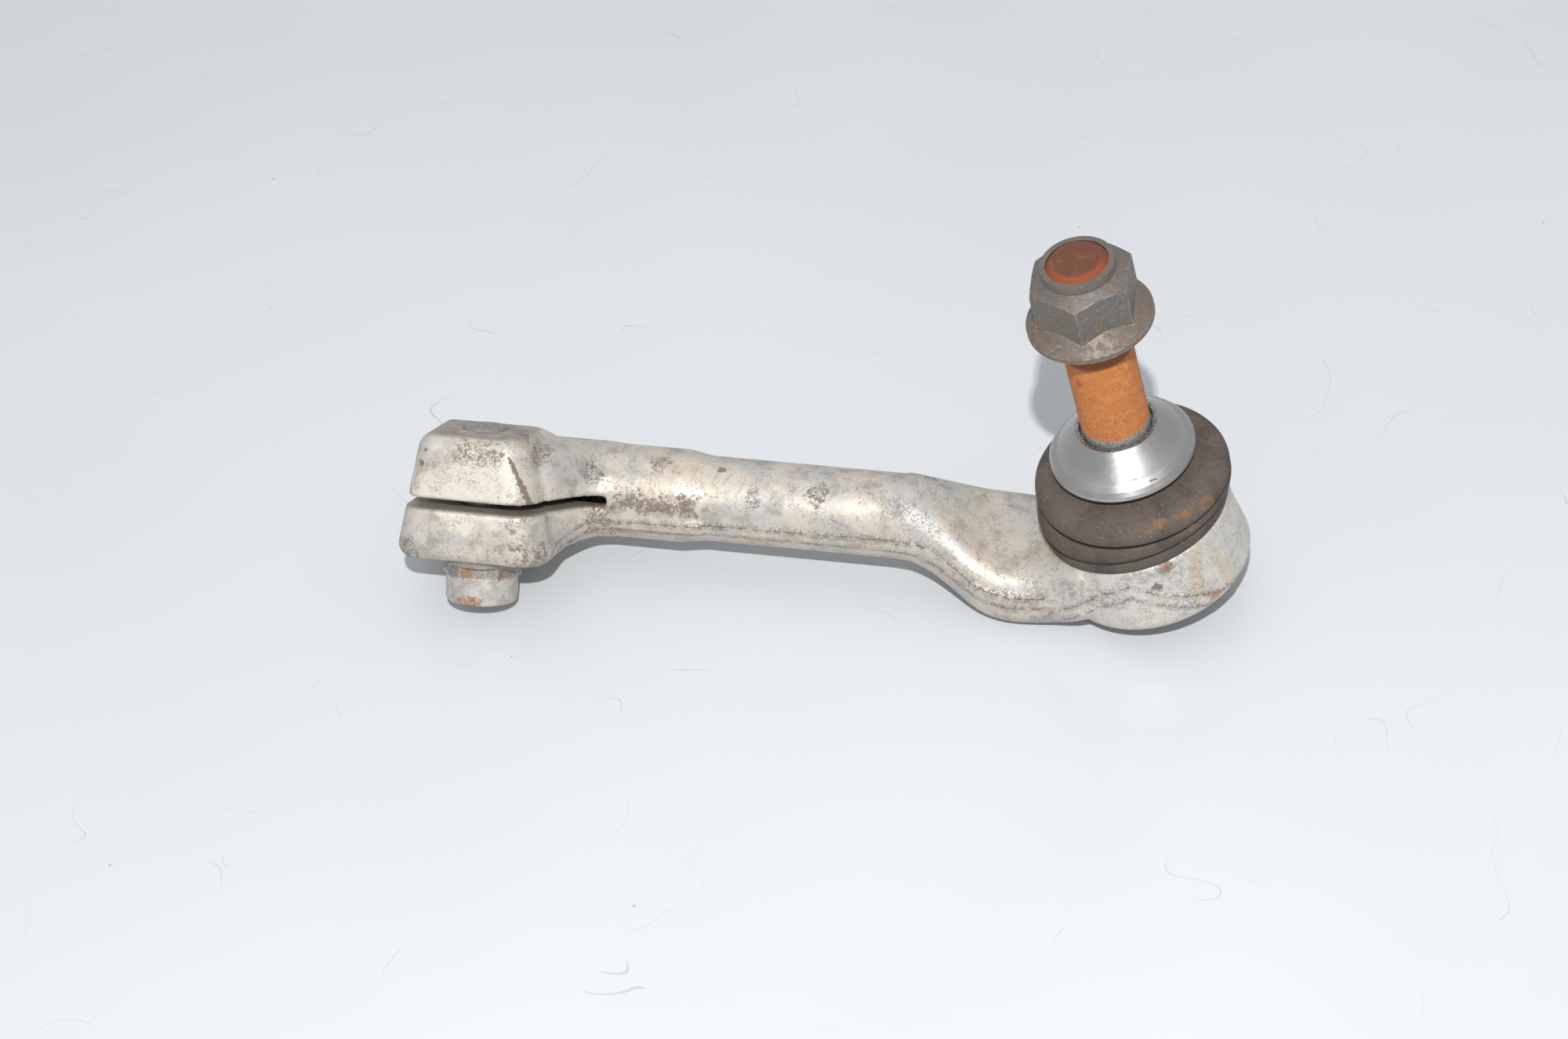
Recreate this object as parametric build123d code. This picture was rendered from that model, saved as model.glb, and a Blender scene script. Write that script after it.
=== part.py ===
from build123d import *
from math import cos, pi, radians, sin, sqrt, tan
import os

os.makedirs("parts", exist_ok=True)

# Outer tie rod end: a forged aluminium arm with a pinch clamp and a ball joint
# The origin is the centre of the ball. X runs along the rod, from the clamp to the joint.
# The rod lies as it rests on a table, and Z points up from that table.

# How the rod lies
ball_height = 23.4
socket_lean = 16.0
stud_lean_back = 8.95
stud_lean_front = 3.0

# Rod
rod_offset = 2.65
rod_drop = 5.7
rod_radius = 10.0
collar_radius = 11.0
step_start = 106.3
step_length = 6.0

# Gooseneck between the rod and the joint
bend_start = 53.9
bend_length = 25.0
neck_start_proud = 0.12
neck_start_overlap = 0.8
neck_start_flat = 0.15
neck_width = 34.0
neck_thickness = 16.0
neck_corner = 6.8
neck_foot_length = 7.0
neck_end_bottom = 6.9
neck_end_top = 23.6
neck_end_width = 37.6

# Parting line left by the forging dies
flash_width = 3.2
flash_height = 0.35
neck_flash_rise = 2.2
socket_flash_drop = 2.6
socket_flash_slope = 32.0
socket_flash_neck_slope = 20.0

# Clamp
clamp_reach = 151.0
clamp_roll = 31.0
jaw_top = 15.8
jaw_bottom = 14.5
jaw_front = 28.5
jaw_back = 10.2
jaw_left = 15.6
jaw_right = 16.4
jaw_lean = 11.0
jaw_left_round = 4.5
jaw_right_round = 7.5
jaw_top_round = 4.4
jaw_bottom_round = 3.4
flare_root = 5.4
flare_length = 21.0
flare_front_gap = 6.5
flare_top_gap = 2.9
flare_bottom_gap = 1.7
flare_corner = 6.5
flare_end_radius = 10.6
flare_back = -1.0
barrel_overlap = 10.0
barrel_taper = 2.8
barrel_radius = 11.3
slot_width = 2.4
slot_drop = 0.6
slot_reach = 122.9
thread_radius = 7.25
thread_mouth_chamfer = 0.9
thread_depth = 62.0
drill_point_angle = 59.0

# Pinch bolt
bolt_offset = 15.75
bolt_radius = 5.0
bolt_hole_clearance = 0.25
bolt_end_height = 0.3
bolt_flange_radius = 9.6
bolt_flange_thickness = 1.8
bolt_flats = 16.0
bolt_hex_height = 2.7
bolt_drum_radius = 8.45
bolt_drum_edge = 0.6
bolt_seat_gap = 0.02
bolt_turn = 10.0

# Socket forged at the end of the arm
socket_radius = 22.6
socket_side_radius = 21.8
socket_rim_radius = 21.3
socket_rim_drop = 17.4
socket_belt_drop = 14.6
socket_side_drop = 6.0
socket_shoulder_height = 1.2
socket_shoulder_radius = 21.0
socket_collar_radius = 18.6
socket_collar_top = 6.2
socket_mouth_angle = 52.0
socket_groove_depth = 0.9
socket_groove_height = 2.0

# Ball, seat and closing plate
ball_radius = 12.5
ball_clearance = 0.04
seat_wall = 1.3
seat_mouth_height = 5.2
seat_bands = 16
seat_plate_gap = 0.1
plate_thickness = 2.0
plate_radius = 18.6
plate_recess = 0.8
plate_clearance = 0.05
plate_dish_radius = 11.0
plate_dish_depth = 0.7
plate_lip = 0.6

# Stud
shank_radius = 7.78
shank_start = 17.8
shank_end = 60.1
neck_radius = 7.0
ball_flat_radius = 5.0
stud_thread_radius = 6.9
stud_end = 78.2
stud_end_chamfer = 1.2
shank_end_chamfer = 0.5

# Cone ring on the stud
cone_rim_radius = 16.5
cone_lip_gap = 0.6
cone_rim_edge = 1.0
cone_shoulder = 2.2
cone_top_radius = 9.3
cone_height = 8.4
cone_top_round = 0.8
cone_recess_radius = 8.5
cone_recess_depth = 2.2
cone_sleeve_radius = 9.4
cone_sleeve_length = 3.9
cone_fit = 0.02

# Flange nut
nut_flats = 21.0
nut_flange_radius = 14.07
nut_flange_edge = 2.2
nut_cone_height = 3.4
nut_hex_height = 15.2
nut_collar_radius = 8.35
nut_collar_height = 2.1
nut_collar_wall = 1.25
nut_seat_gap = 0.02
nut_chamfer_angle = 30.0
nut_turn = 33.0

# Dust boot with its two clamping rings
boot_wall = 1.5
boot_foot_height = 1.45
boot_foot_radius = 21.4
boot_foot_top_radius = 21.9
boot_groove_height = 4.9
boot_groove_radius = 21.2
boot_lower_radius = 22.5
boot_fold_height = 10.8
boot_fold_radius = 21.0
boot_upper_radius = 22.2
boot_upper_height = 13.4
boot_crown_height = 16.7
boot_crown_radius = 17.4
boot_lip_radius = 12.2
boot_lip_height = 1.7
boot_top_height = 19.9
boot_shift = 1.2
boot_gap = 0.45
lower_ring_wire = 0.55
upper_ring_wire = 0.5
ring_clearance = 0.02
boot_steps = 4


def socket_frame():
    """Frame of the socket: its Z is the socket's axis, leaning towards the clamp."""
    return Rot(0, -socket_lean, 0)


def stud_direction():
    """Direction of the stud's axis as the photographed piece has come to rest."""
    lean_back = tan(radians(stud_lean_back))
    lean_front = tan(radians(stud_lean_front))
    return Vector(-lean_back, -lean_front, 1).normalized()


def stud_frame():
    """Frame of the stud: its Z is the stud's axis and its origin the ball's centre."""
    return Plane(origin=(0, 0, 0), x_dir=(1, 0, 0), z_dir=stud_direction()).location


def rod_point(x):
    """Point of the rod's axis at a distance along X."""
    return (x, -rod_offset, -rod_drop)


def clamp_frame():
    """Frame of the clamp: X along the rod, Y to the back, Z along the pinch bolt."""
    return Pos(*rod_point(-clamp_reach)) * Rot(-clamp_roll, 0, 0)


def turned(points):
    """Solid turned about Z from an outline of (radius, height) points."""
    outline = Polyline(*[(radius, 0, height) for radius, height in points], close=True)
    return revolve(make_face(outline), Axis.Z)


def hexagon(flats, height):
    """Hexagonal prism standing on the XY plane, given its width across flats."""
    return extrude(RegularPolygon(flats / 2, 6, major_radius=False), height)


def ramp(share):
    """Smooth rise from 0 to 1 that is level at both ends."""
    share = min(1.0, max(0.0, share))
    return 3 * share**2 - 2 * share**3


def corners_near(sketch, points):
    """Corners of a sketch that stand at the given points."""
    chosen = []
    for x, y in points:
        chosen.append(min(sketch.vertices(), key=lambda corner: (corner.X - x) ** 2 + (corner.Y - y) ** 2))
    return chosen


def arm_stations():
    """Stations of the gooseneck: x, z, width, thickness, corner radius and band height."""
    round_width = 2 * (rod_radius + neck_start_proud)
    full_round = round_width / 2 - neck_start_flat
    foot_z = neck_thickness / 2 - ball_height
    stations = []
    for share in (0.0, 0.14, 0.34, 0.55, 0.78, 1.0):
        swell = ramp(share) ** 1.2
        width = round_width + swell * (neck_width - round_width)
        thickness = round_width + swell * (neck_thickness - round_width)
        corner = full_round + swell * (neck_corner - full_round)
        z = -rod_drop + ramp(share) * (foot_z + rod_drop)
        band_z = z + swell * neck_flash_rise
        stations.append((share * bend_length - bend_start, z, width, thickness, corner, band_z))
    foot_x = bend_length - bend_start
    for share in (0.0, 0.3, 0.62, 1.0):
        x = foot_x + neck_foot_length + share * (-foot_x - neck_foot_length)
        bottom = ramp(share) * neck_end_bottom
        top = neck_thickness + sin(share * pi / 2) * (neck_end_top - neck_thickness)
        width = neck_width + ramp(share) * (neck_end_width - neck_width)
        z = (bottom + top) / 2 - ball_height
        stations.append((x, z, width, top - bottom, neck_corner, z + neck_flash_rise))
    return stations


def gooseneck():
    """Bend and flattened neck, with the parting line on both sides."""
    sections = []
    bands = []
    for x, z, width, thickness, corner, band_z in arm_stations():
        plane = Plane(origin=(x, -rod_offset, z), x_dir=(0, 1, 0), z_dir=(1, 0, 0))
        sections.append(plane * RectangleRounded(width, thickness, corner))
        band_plane = Plane(origin=(x, -rod_offset, band_z), x_dir=(0, 1, 0), z_dir=(1, 0, 0))
        # The band sinks into the socket where the neck ends inside it.
        proud = 2 * flash_height if x < -socket_rim_radius / 2 else -1
        bands.append(band_plane * Rectangle(width + proud, flash_width))
    return loft(sections) + loft(bands, ruled=True)


def rod():
    """Round rod with its thicker end, and the flat strip of the parting line."""
    across = Plane(origin=rod_point(0), x_dir=(0, 1, 0), z_dir=(1, 0, 0))
    thin_length = step_start - step_length - bend_start
    thick_length = clamp_reach - step_start
    thin = across.offset(-bend_start - thin_length) * Circle(rod_radius)
    step = across.offset(-step_start) * Circle(collar_radius)
    thick = across.offset(-clamp_reach) * Circle(collar_radius)
    barrel_end = -clamp_reach + jaw_right + barrel_overlap
    swell = barrel_radius - collar_radius
    barrel = across.offset(barrel_end) * Circle(barrel_radius)
    barrel_foot = across.offset(barrel_end + barrel_taper) * Circle(collar_radius)
    barrel_start = across.offset(-clamp_reach - 2 * jaw_left) * Circle(barrel_radius)
    body = extrude(thin, thin_length + neck_start_overlap)
    body += loft([step, thin])
    body += extrude(thick, thick_length)
    body += loft([barrel, barrel_foot])
    body += extrude(barrel_start, barrel_end + clamp_reach + 2 * jaw_left)
    thin_band = Box(thin_length, 2 * (rod_radius + flash_height), flash_width)
    body += Pos(*rod_point(-bend_start - thin_length / 2)) * thin_band
    thick_band_length = slot_reach - step_start + step_length
    thick_band = Box(thick_band_length, 2 * (collar_radius + flash_height), flash_width)
    body += Pos(*rod_point(-step_start + step_length - thick_band_length / 2)) * thick_band
    return body - clamp_frame() * end_face_cut()


def end_face_cut():
    """Block that cuts the rod's end along the slanting left side of the clamp."""
    reach = 4 * jaw_front
    block = Box(reach, reach, reach, align=(Align.MAX, Align.CENTER, Align.CENTER))
    return Pos(0.2 - jaw_left, 0, 0) * Rot(0, jaw_lean, 0) * block


def jaw_plan(height):
    """Outline of the clamp's ears across the bolt, at a height along the bolt."""
    lean = height * tan(radians(jaw_lean))
    left = -jaw_left + lean
    right = jaw_right - lean
    outline = Polyline((left, 0), (left, -jaw_front), (right, -jaw_front), (right, 0), close=True)
    return Pos(0, 0, height) * make_face(outline)


def jaw_side():
    """Outline of the ears seen along the rod: X to the back and Y along the bolt."""
    inside = -0.1 * barrel_radius
    round_top = barrel_radius - 0.2
    return make_face(Polyline(
        (-jaw_front, jaw_top), (-jaw_back, jaw_top), (inside, round_top),
        (inside, -round_top), (-jaw_back, -jaw_bottom), (-jaw_front, -jaw_bottom), close=True,
    ))


def upright_edge(block, x):
    """Front edge of the ears that stands along the bolt nearest to a place along the rod."""
    front = [edge for edge in block.edges() if max(v.Y for v in edge.vertices()) < 0.01 - jaw_front]
    upright = [edge for edge in front if edge.length > jaw_top and abs(edge.center().Z) < jaw_top / 2]
    return min(upright, key=lambda edge: abs(edge.center().X - x))


def edges_at(block, height):
    """Edges round the outside of the ears that lie at a height along the bolt."""
    hidden = -0.1 * barrel_radius - 0.05
    level = [edge for edge in block.edges() if max(abs(v.Z - height) for v in edge.vertices()) < 0.01]
    return [edge for edge in level if min(vertex.Y for vertex in edge.vertices()) < hidden - 1
            and abs(edge.center().Y + jaw_back) > 0.1]


def ears():
    """Block of the two ears, leaning inward to the top, with all its outer edges rounded."""
    reach = 2 * (jaw_left + jaw_right)
    block = loft([jaw_plan(-jaw_bottom), jaw_plan(jaw_top)], ruled=True)
    across = Plane(origin=(-reach / 2, 0, 0), x_dir=(0, 1, 0), z_dir=(1, 0, 0))
    block = block & extrude(across * jaw_side(), reach)
    block = fillet(upright_edge(block, -jaw_left), jaw_left_round)
    block = fillet(upright_edge(block, jaw_right), jaw_right_round)
    block = fillet(edges_at(block, jaw_top), jaw_top_round)
    return fillet(edges_at(block, -jaw_bottom), jaw_bottom_round)


def flare_section(x, front, back, reach_up, reach_down, corner):
    """Cross section of the flare between the ears and the rod."""
    place = (x, (back - front) / 2, (reach_up - reach_down) / 2)
    plane = Plane(origin=place, x_dir=(0, 1, 0), z_dir=(1, 0, 0))
    return plane * RectangleRounded(front + back, reach_up + reach_down, corner)


def flare():
    """Smooth neck that widens from the rod into the ears."""
    inner_front = jaw_front - flare_front_gap
    inner_top = jaw_top - flare_top_gap
    inner_bottom = jaw_bottom - flare_bottom_gap
    end = flare_end_radius
    start_x = jaw_right - flare_root
    sections = []
    for share, wide in ((0.0, 1.0), (0.3, 0.86), (0.45, 0.5), (0.62, 0.17), (0.8, 0.04), (1.0, 0.0)):
        front = end + wide * (inner_front - end)
        back = end - wide * (end - flare_back)
        reach_up = end + wide * (inner_top - end)
        reach_down = end + wide * (inner_bottom - end)
        corner = flare_corner + (1 - wide) * (end - 0.1 - flare_corner)
        x = start_x + share * flare_length
        sections.append(flare_section(x, front, back, reach_up, reach_down, corner))
    return loft(sections)


def jaws():
    """Ears and flare of the clamp in its own frame, before the slot and the holes are cut."""
    return ears() + flare()


def clamp_cuts():
    """Threaded bore, slot and bolt hole, in the clamp's own frame."""
    mouth = Plane(origin=(-jaw_left, 0, 0), x_dir=(0, 1, 0), z_dir=(1, 0, 0))
    start = mouth.offset(-jaw_left)
    bore = extrude(start * Circle(thread_radius), thread_depth + jaw_left)
    point_length = thread_radius / tan(radians(drill_point_angle))
    bore += loft([
        mouth.offset(thread_depth) * Circle(thread_radius),
        mouth.offset(thread_depth + point_length) * Circle(0.05),
    ])
    wide = thread_radius + thread_mouth_chamfer
    lean = Rot(0, jaw_lean, 0)
    countersink = Rot(0, 90, 0) * Cone(
        wide + 2, thread_radius - 1, wide + 3 - thread_radius, align=(Align.CENTER, Align.CENTER, Align.MIN)
    )
    bore += Pos(0.2 - jaw_left, 0, 0) * lean * Pos(-2, 0, 0) * countersink
    slot_length = clamp_reach - slot_reach + 2 * jaw_left
    slot_depth = jaw_front + 2 * thread_radius
    slot = Box(slot_length, slot_depth, slot_width, align=(Align.MAX, Align.MAX, Align.CENTER))
    slot = Pos(clamp_reach - slot_reach, 0, -slot_drop) * slot
    thread = Cylinder(bolt_radius, 2 * jaw_top, align=(Align.CENTER, Align.CENTER, Align.MIN))
    clearance_radius = bolt_radius + bolt_hole_clearance
    shank_hole = Cylinder(clearance_radius, 2 * jaw_top, align=(Align.CENTER, Align.CENTER, Align.MAX))
    bolt_hole = Pos(0, -bolt_offset, 0) * (thread + shank_hole)
    return bore + slot + bolt_hole


def socket_blank(grow):
    """Outside of the socket, turned about its own axis and grown by a small amount."""
    outline = [
        (0, -socket_rim_drop - grow),
        (socket_rim_radius - 0.8 + grow, -socket_rim_drop - grow),
        (socket_rim_radius + grow, -socket_rim_drop + 0.7),
        (socket_radius - 0.3 + grow, -socket_belt_drop - 0.7),
        (socket_radius + grow, -socket_belt_drop + 0.5),
        (socket_side_radius + grow, -socket_side_drop),
        (socket_shoulder_radius + 0.5 + grow, socket_shoulder_height - 1.6),
        (socket_shoulder_radius + 0.2 + grow, socket_shoulder_height - 0.5),
        (socket_shoulder_radius - 0.6 + grow, socket_shoulder_height),
        (socket_collar_radius, socket_shoulder_height),
        (socket_collar_radius, socket_collar_top - 0.8),
        (socket_collar_radius - 0.8, socket_collar_top),
        (0, socket_collar_top),
    ]
    return turned(outline)


def socket_flash():
    """Parting line round the socket, higher at the front and back than at its end."""
    span = 2 * socket_radius
    fall = span * tan(radians(socket_flash_slope))
    neck_fall = span * tan(radians(socket_flash_neck_slope))
    peak = -socket_flash_drop
    low = peak - flash_width
    chevron = make_face(Polyline(
        (-span, peak - neck_fall), (0, peak), (span, peak - fall),
        (span, low - fall), (0, low), (-span, low - neck_fall), close=True,
    ))
    along = Plane(origin=(0, span, 0), x_dir=(1, 0, 0), z_dir=(0, -1, 0))
    band = extrude(along * chevron, 2 * span)
    belt = Pos(0, 0, -socket_rim_drop + 2) * Cylinder(
        span, socket_rim_drop - socket_flash_drop / 2, align=(Align.CENTER, Align.CENTER, Align.MIN)
    )
    return socket_blank(flash_height) & band & belt


def socket_cuts():
    """Inside of the socket: ball pocket, mouth, plate seat and the boot's groove."""
    pocket_radius = ball_radius + seat_wall
    pocket = Sphere(pocket_radius)
    barrel = Cylinder(pocket_radius, socket_rim_drop, align=(Align.CENTER, Align.CENTER, Align.MAX))
    mouth_low = pocket_radius * cos(radians(socket_mouth_angle))
    mouth_wide = mouth_low + 1.5 * socket_collar_top
    mouth = Cone(0.2, mouth_wide, mouth_wide, align=(Align.CENTER, Align.CENTER, Align.MIN))
    plate_top = -socket_rim_drop + plate_recess + plate_thickness
    seat_radius = plate_radius + plate_clearance
    plate_seat = Pos(0, 0, plate_top) * Cylinder(
        seat_radius, plate_thickness, align=(Align.CENTER, Align.CENTER, Align.MAX)
    )
    opening = Pos(0, 0, plate_top - plate_thickness) * Cylinder(
        seat_radius - plate_lip, socket_rim_drop, align=(Align.CENTER, Align.CENTER, Align.MAX)
    )
    foot_seat = Pos(0, 0, socket_shoulder_height) * (
        Cylinder(boot_foot_radius + boot_gap, boot_top_height, align=(Align.CENTER, Align.CENTER, Align.MIN))
        - Cylinder(socket_collar_radius, boot_top_height, align=(Align.CENTER, Align.CENTER, Align.MIN))
    )
    return pocket + barrel + mouth + plate_seat + opening + boot_groove() + foot_seat


def boot_groove():
    """Groove round the socket's collar that the boot's foot and its ring sit in."""
    floor_radius = socket_collar_radius - socket_groove_depth
    outer = Cylinder(socket_radius, socket_groove_height, align=(Align.CENTER, Align.CENTER, Align.MIN))
    inner = Cylinder(floor_radius, socket_groove_height, align=(Align.CENTER, Align.CENTER, Align.MIN))
    return Pos(0, 0, boot_groove_height - socket_groove_height / 2) * (outer - inner)


def joined(first, second):
    """Union of two solids, made again with a looser tolerance if the first try loses material."""
    whole = first.volume + (second - first).volume
    union = first + second
    for tolerance in (0.0005, 0.002, 0.01):
        if abs(union.volume - whole) < 0.002 * whole and len(union.solids()) == 1:
            return union
        union = first.fuse(second, tol=tolerance)
    return union


def forged_body():
    """The whole forging: clamp, rod, gooseneck and socket in one piece."""
    head = socket_frame() * (socket_blank(0) + socket_flash())
    body = joined(rod(), clamp_frame() * jaws())
    body = joined(body, gooseneck())
    body = joined(body, head)
    body -= clamp_frame() * clamp_cuts()
    body -= socket_frame() * socket_cuts()
    return max(body.solids(), key=lambda solid: solid.volume)


def ball_seat():
    """Plastic shell that lines the socket round the ball."""
    pocket_radius = ball_radius + seat_wall - 0.01
    foot = socket_rim_drop - plate_recess - plate_thickness - seat_plate_gap
    mouth_radius = sqrt(pocket_radius**2 - seat_mouth_height**2)
    shell = turned([
        (0, -foot), (pocket_radius, -foot), (pocket_radius, 0),
        (mouth_radius, seat_mouth_height), (0, seat_mouth_height),
    ])
    # The bowl is turned in bands that touch the ball's sphere from outside.
    band = pi / seat_bands
    corner_radius = (ball_radius + ball_clearance) / cos(band / 2)
    turns = [band * (step + 0.5) for step in range(seat_bands)]
    bowl = [(corner_radius * sin(turn), corner_radius * cos(turn)) for turn in turns]
    shell -= turned([(0, bowl[0][1])] + bowl + [(0, bowl[-1][1])])
    shell -= Cylinder(ball_flat_radius + 1, 2 * foot, align=(Align.CENTER, Align.CENTER, Align.MAX))
    return socket_frame() * shell


def closing_plate():
    """Dished steel plate that closes the socket from below."""
    bottom = -socket_rim_drop + plate_recess
    plate = Pos(0, 0, bottom) * Cylinder(
        plate_radius, plate_thickness, align=(Align.CENTER, Align.CENTER, Align.MIN)
    )
    dish = Pos(0, 0, bottom) * Cylinder(
        plate_dish_radius, plate_dish_depth, align=(Align.CENTER, Align.CENTER, Align.MIN)
    )
    return socket_frame() * (plate - dish)


def ball_stud():
    """Forged and turned steel stud with its ball, shank and threaded end."""
    flat_height = sqrt(ball_radius**2 - ball_flat_radius**2)
    joint_height = sqrt(ball_radius**2 - neck_radius**2)
    stem = turned([
        (0, 0),
        (neck_radius, 0),
        (neck_radius, joint_height + 0.6),
        (shank_radius, shank_start),
        (shank_radius, shank_end - shank_end_chamfer),
        (shank_radius - shank_end_chamfer, shank_end),
        (stud_thread_radius, shank_end),
        (stud_thread_radius, stud_end - stud_end_chamfer),
        (stud_thread_radius - stud_end_chamfer, stud_end),
        (0, stud_end),
    ])
    cut = Pos(0, 0, -flat_height) * Box(
        4 * ball_radius, 4 * ball_radius, ball_radius, align=(Align.CENTER, Align.CENTER, Align.MAX)
    )
    return stud_frame() * (Sphere(ball_radius) - cut + stem)


def cone_ring():
    """Turned steel ring with a conical top, pushed onto the shank above the boot."""
    bore = shank_radius + cone_fit
    rim = boot_top_height + cone_lip_gap
    top = rim + cone_height
    sleeve_bottom = rim - cone_sleeve_length
    recess_floor = top - cone_recess_depth
    shoulder = rim + cone_rim_edge
    return stud_frame() * turned([
        (bore, sleeve_bottom),
        (cone_sleeve_radius, sleeve_bottom),
        (cone_sleeve_radius, rim - 0.4),
        (cone_rim_radius - 0.6, rim - 0.4),
        (cone_rim_radius, rim),
        (cone_rim_radius, shoulder),
        (cone_rim_radius - 0.35 * cone_shoulder, shoulder + 0.45 * cone_shoulder),
        (cone_rim_radius - cone_shoulder, shoulder + 0.9 * cone_shoulder),
        (cone_top_radius + cone_top_round, top - cone_top_round),
        (cone_top_radius, top),
        (cone_recess_radius, top),
        (cone_recess_radius, recess_floor),
        (bore, recess_floor),
    ])


def flange_nut():
    """Locking nut with a wide flange and a round crimped collar."""
    bottom = shank_end + nut_seat_gap
    cone_top = bottom + nut_flange_edge + nut_cone_height
    hex_top = bottom + nut_hex_height
    corner_radius = nut_flats / 2 / cos(radians(30))
    drop = (corner_radius + 1 - nut_collar_radius) * tan(radians(nut_chamfer_angle))
    prism = Pos(0, 0, bottom) * hexagon(nut_flats, nut_hex_height)
    envelope = turned([
        (0, bottom), (corner_radius + 1, bottom), (corner_radius + 1, hex_top - drop),
        (nut_collar_radius, hex_top), (0, hex_top),
    ])
    flange = turned([
        (0, bottom), (nut_flange_radius - 0.5, bottom), (nut_flange_radius, bottom + 0.5),
        (nut_flange_radius, bottom + nut_flange_edge - 0.5),
        (nut_flange_radius - 0.5, bottom + nut_flange_edge),
        (nut_flats / 2 - 0.6, cone_top), (0, cone_top),
    ])
    top = hex_top + nut_collar_height
    collar = turned([
        (0, hex_top - 1), (nut_collar_radius, hex_top - 1), (nut_collar_radius, top - 1.6),
        (stud_thread_radius + nut_collar_wall, top), (0, top),
    ])
    bore = Pos(0, 0, bottom - 1) * Cylinder(
        stud_thread_radius + cone_fit, 3 * nut_hex_height, align=(Align.CENTER, Align.CENTER, Align.MIN)
    )
    turn = Rot(0, 0, nut_turn)
    return stud_frame() * (turn * ((prism & envelope) + flange + collar - bore))


def pinch_bolt():
    """Bolt across the clamp: threaded end, shank, flange, short hexagon and round drum."""
    seat = -jaw_bottom - bolt_seat_gap
    flange_bottom = seat - bolt_flange_thickness
    hex_bottom = flange_bottom - bolt_hex_height
    # The drum reaches down to the table that the clamp leans on.
    drum_foot = table_reach_of_drum()
    shank = turned([
        (0, seat - 0.5), (bolt_radius, seat - 0.5), (bolt_radius, jaw_top + bolt_end_height - 0.4),
        (bolt_radius - 0.4, jaw_top + bolt_end_height), (0, jaw_top + bolt_end_height),
    ])
    flange = turned([
        (0, seat), (bolt_flange_radius, seat), (bolt_flange_radius, flange_bottom + 0.5),
        (bolt_flange_radius - 0.7, flange_bottom), (0, flange_bottom),
    ])
    hex_part = Pos(0, 0, hex_bottom) * hexagon(bolt_flats, bolt_hex_height + 0.5)
    drum = turned([
        (0, hex_bottom + 0.01), (bolt_drum_radius, hex_bottom + 0.01),
        (bolt_drum_radius, drum_foot + bolt_drum_edge),
        (bolt_drum_radius - bolt_drum_edge / 2, drum_foot), (0, drum_foot),
    ])
    turn = Rot(0, 0, bolt_turn)
    return clamp_frame() * Pos(0, -bolt_offset, 0) * turn * (shank + flange + hex_part + drum)


def table_reach_of_drum():
    """Height along the bolt at which the drum's back edge meets the table."""
    roll = radians(clamp_roll)
    edge_radius = bolt_drum_radius - bolt_drum_edge / 2
    bolt_height = ball_height - rod_drop + bolt_offset * sin(roll)
    return -(bolt_height - edge_radius * sin(roll)) / cos(roll)


def boot_frame(height):
    """Frame of the boot at a height, swinging from the socket's axis to the stud's."""
    span = boot_crown_height - boot_groove_height
    share = min(1.0, max(0.0, (height - boot_groove_height) / span))
    blend = sin(share * pi / 2)
    lean = radians(socket_lean)
    socket_axis = Vector(-sin(lean), 0, cos(lean))
    axis = (socket_axis * (1 - blend) + stud_direction() * blend).normalized()
    sideways = Vector(boot_shift * sin(share * pi), 0, 0)
    return Plane(origin=axis * height + sideways, x_dir=(1, 0, 0), z_dir=axis)


def bulge(start, peak, end):
    """Rounded fold between two (radius, height) ends, passing a peak radius at a height."""
    points = []
    for step in range(1, 2 * boot_steps):
        turn = pi * step / (2 * boot_steps)
        side = start if step < boot_steps else end
        height = peak[1] - (peak[1] - side[1]) * abs(cos(turn))
        radius = side[0] + (peak[0] - side[0]) * sin(turn)
        points.append((radius, height))
    return points


def boot_outline():
    """Outer radius of the boot against height: a foot, two folds and a flat crown."""
    foot_top = boot_groove_height - 0.5
    lower_start = (boot_groove_radius, boot_groove_height + 0.4)
    fold = (boot_fold_radius, boot_fold_height)
    lower_peak = (boot_lower_radius, (lower_start[1] + boot_fold_height) / 2)
    crown = (boot_crown_radius, boot_crown_height)
    upper_peak = (boot_upper_radius, boot_upper_height)
    points = [(boot_foot_radius, boot_foot_height), (boot_foot_top_radius, foot_top)]
    points += [(boot_groove_radius, boot_groove_height), lower_start]
    points += bulge(lower_start, lower_peak, fold) + [fold]
    points += bulge(fold, upper_peak, crown) + [crown]
    lip_foot = boot_top_height - boot_lip_height
    points += [(boot_lip_radius + 0.6, lip_foot), (boot_lip_radius, lip_foot + 0.2)]
    points += [(boot_lip_radius, boot_top_height)]
    return points


def dust_boot():
    """Rubber boot between the socket's collar and the stud."""
    outline = boot_outline()
    outer = loft([boot_frame(height) * Circle(radius) for radius, height in outline], ruled=True)
    collar = socket_collar_radius + boot_gap
    collar_top = socket_collar_top + 2 * boot_gap
    inner = [(collar, boot_foot_height - 1), (collar, collar_top)]
    inner += [(radius - boot_wall, height) for radius, height in outline[4:-4:2]
              if collar_top + 0.3 < height < boot_crown_height - 1.5 * boot_wall]
    inner += [(boot_crown_radius - 1.6 * boot_wall, boot_crown_height - boot_wall)]
    hollow = loft([boot_frame(height) * Circle(radius) for radius, height in inner], ruled=True)
    mouth = stud_frame() * Pos(0, 0, socket_collar_top) * Cylinder(
        cone_sleeve_radius + boot_gap, boot_top_height, align=(Align.CENTER, Align.CENTER, Align.MIN)
    )
    return outer - hollow - mouth - lower_ring(ring_clearance)


def wire_ring(radius, wire):
    """Ring of round wire, given the radius of the ring and of the wire."""
    section = Plane.XZ * Pos(radius, 0, 0) * RegularPolygon(wire, 8)
    return revolve(section, Axis.Z)


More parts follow.
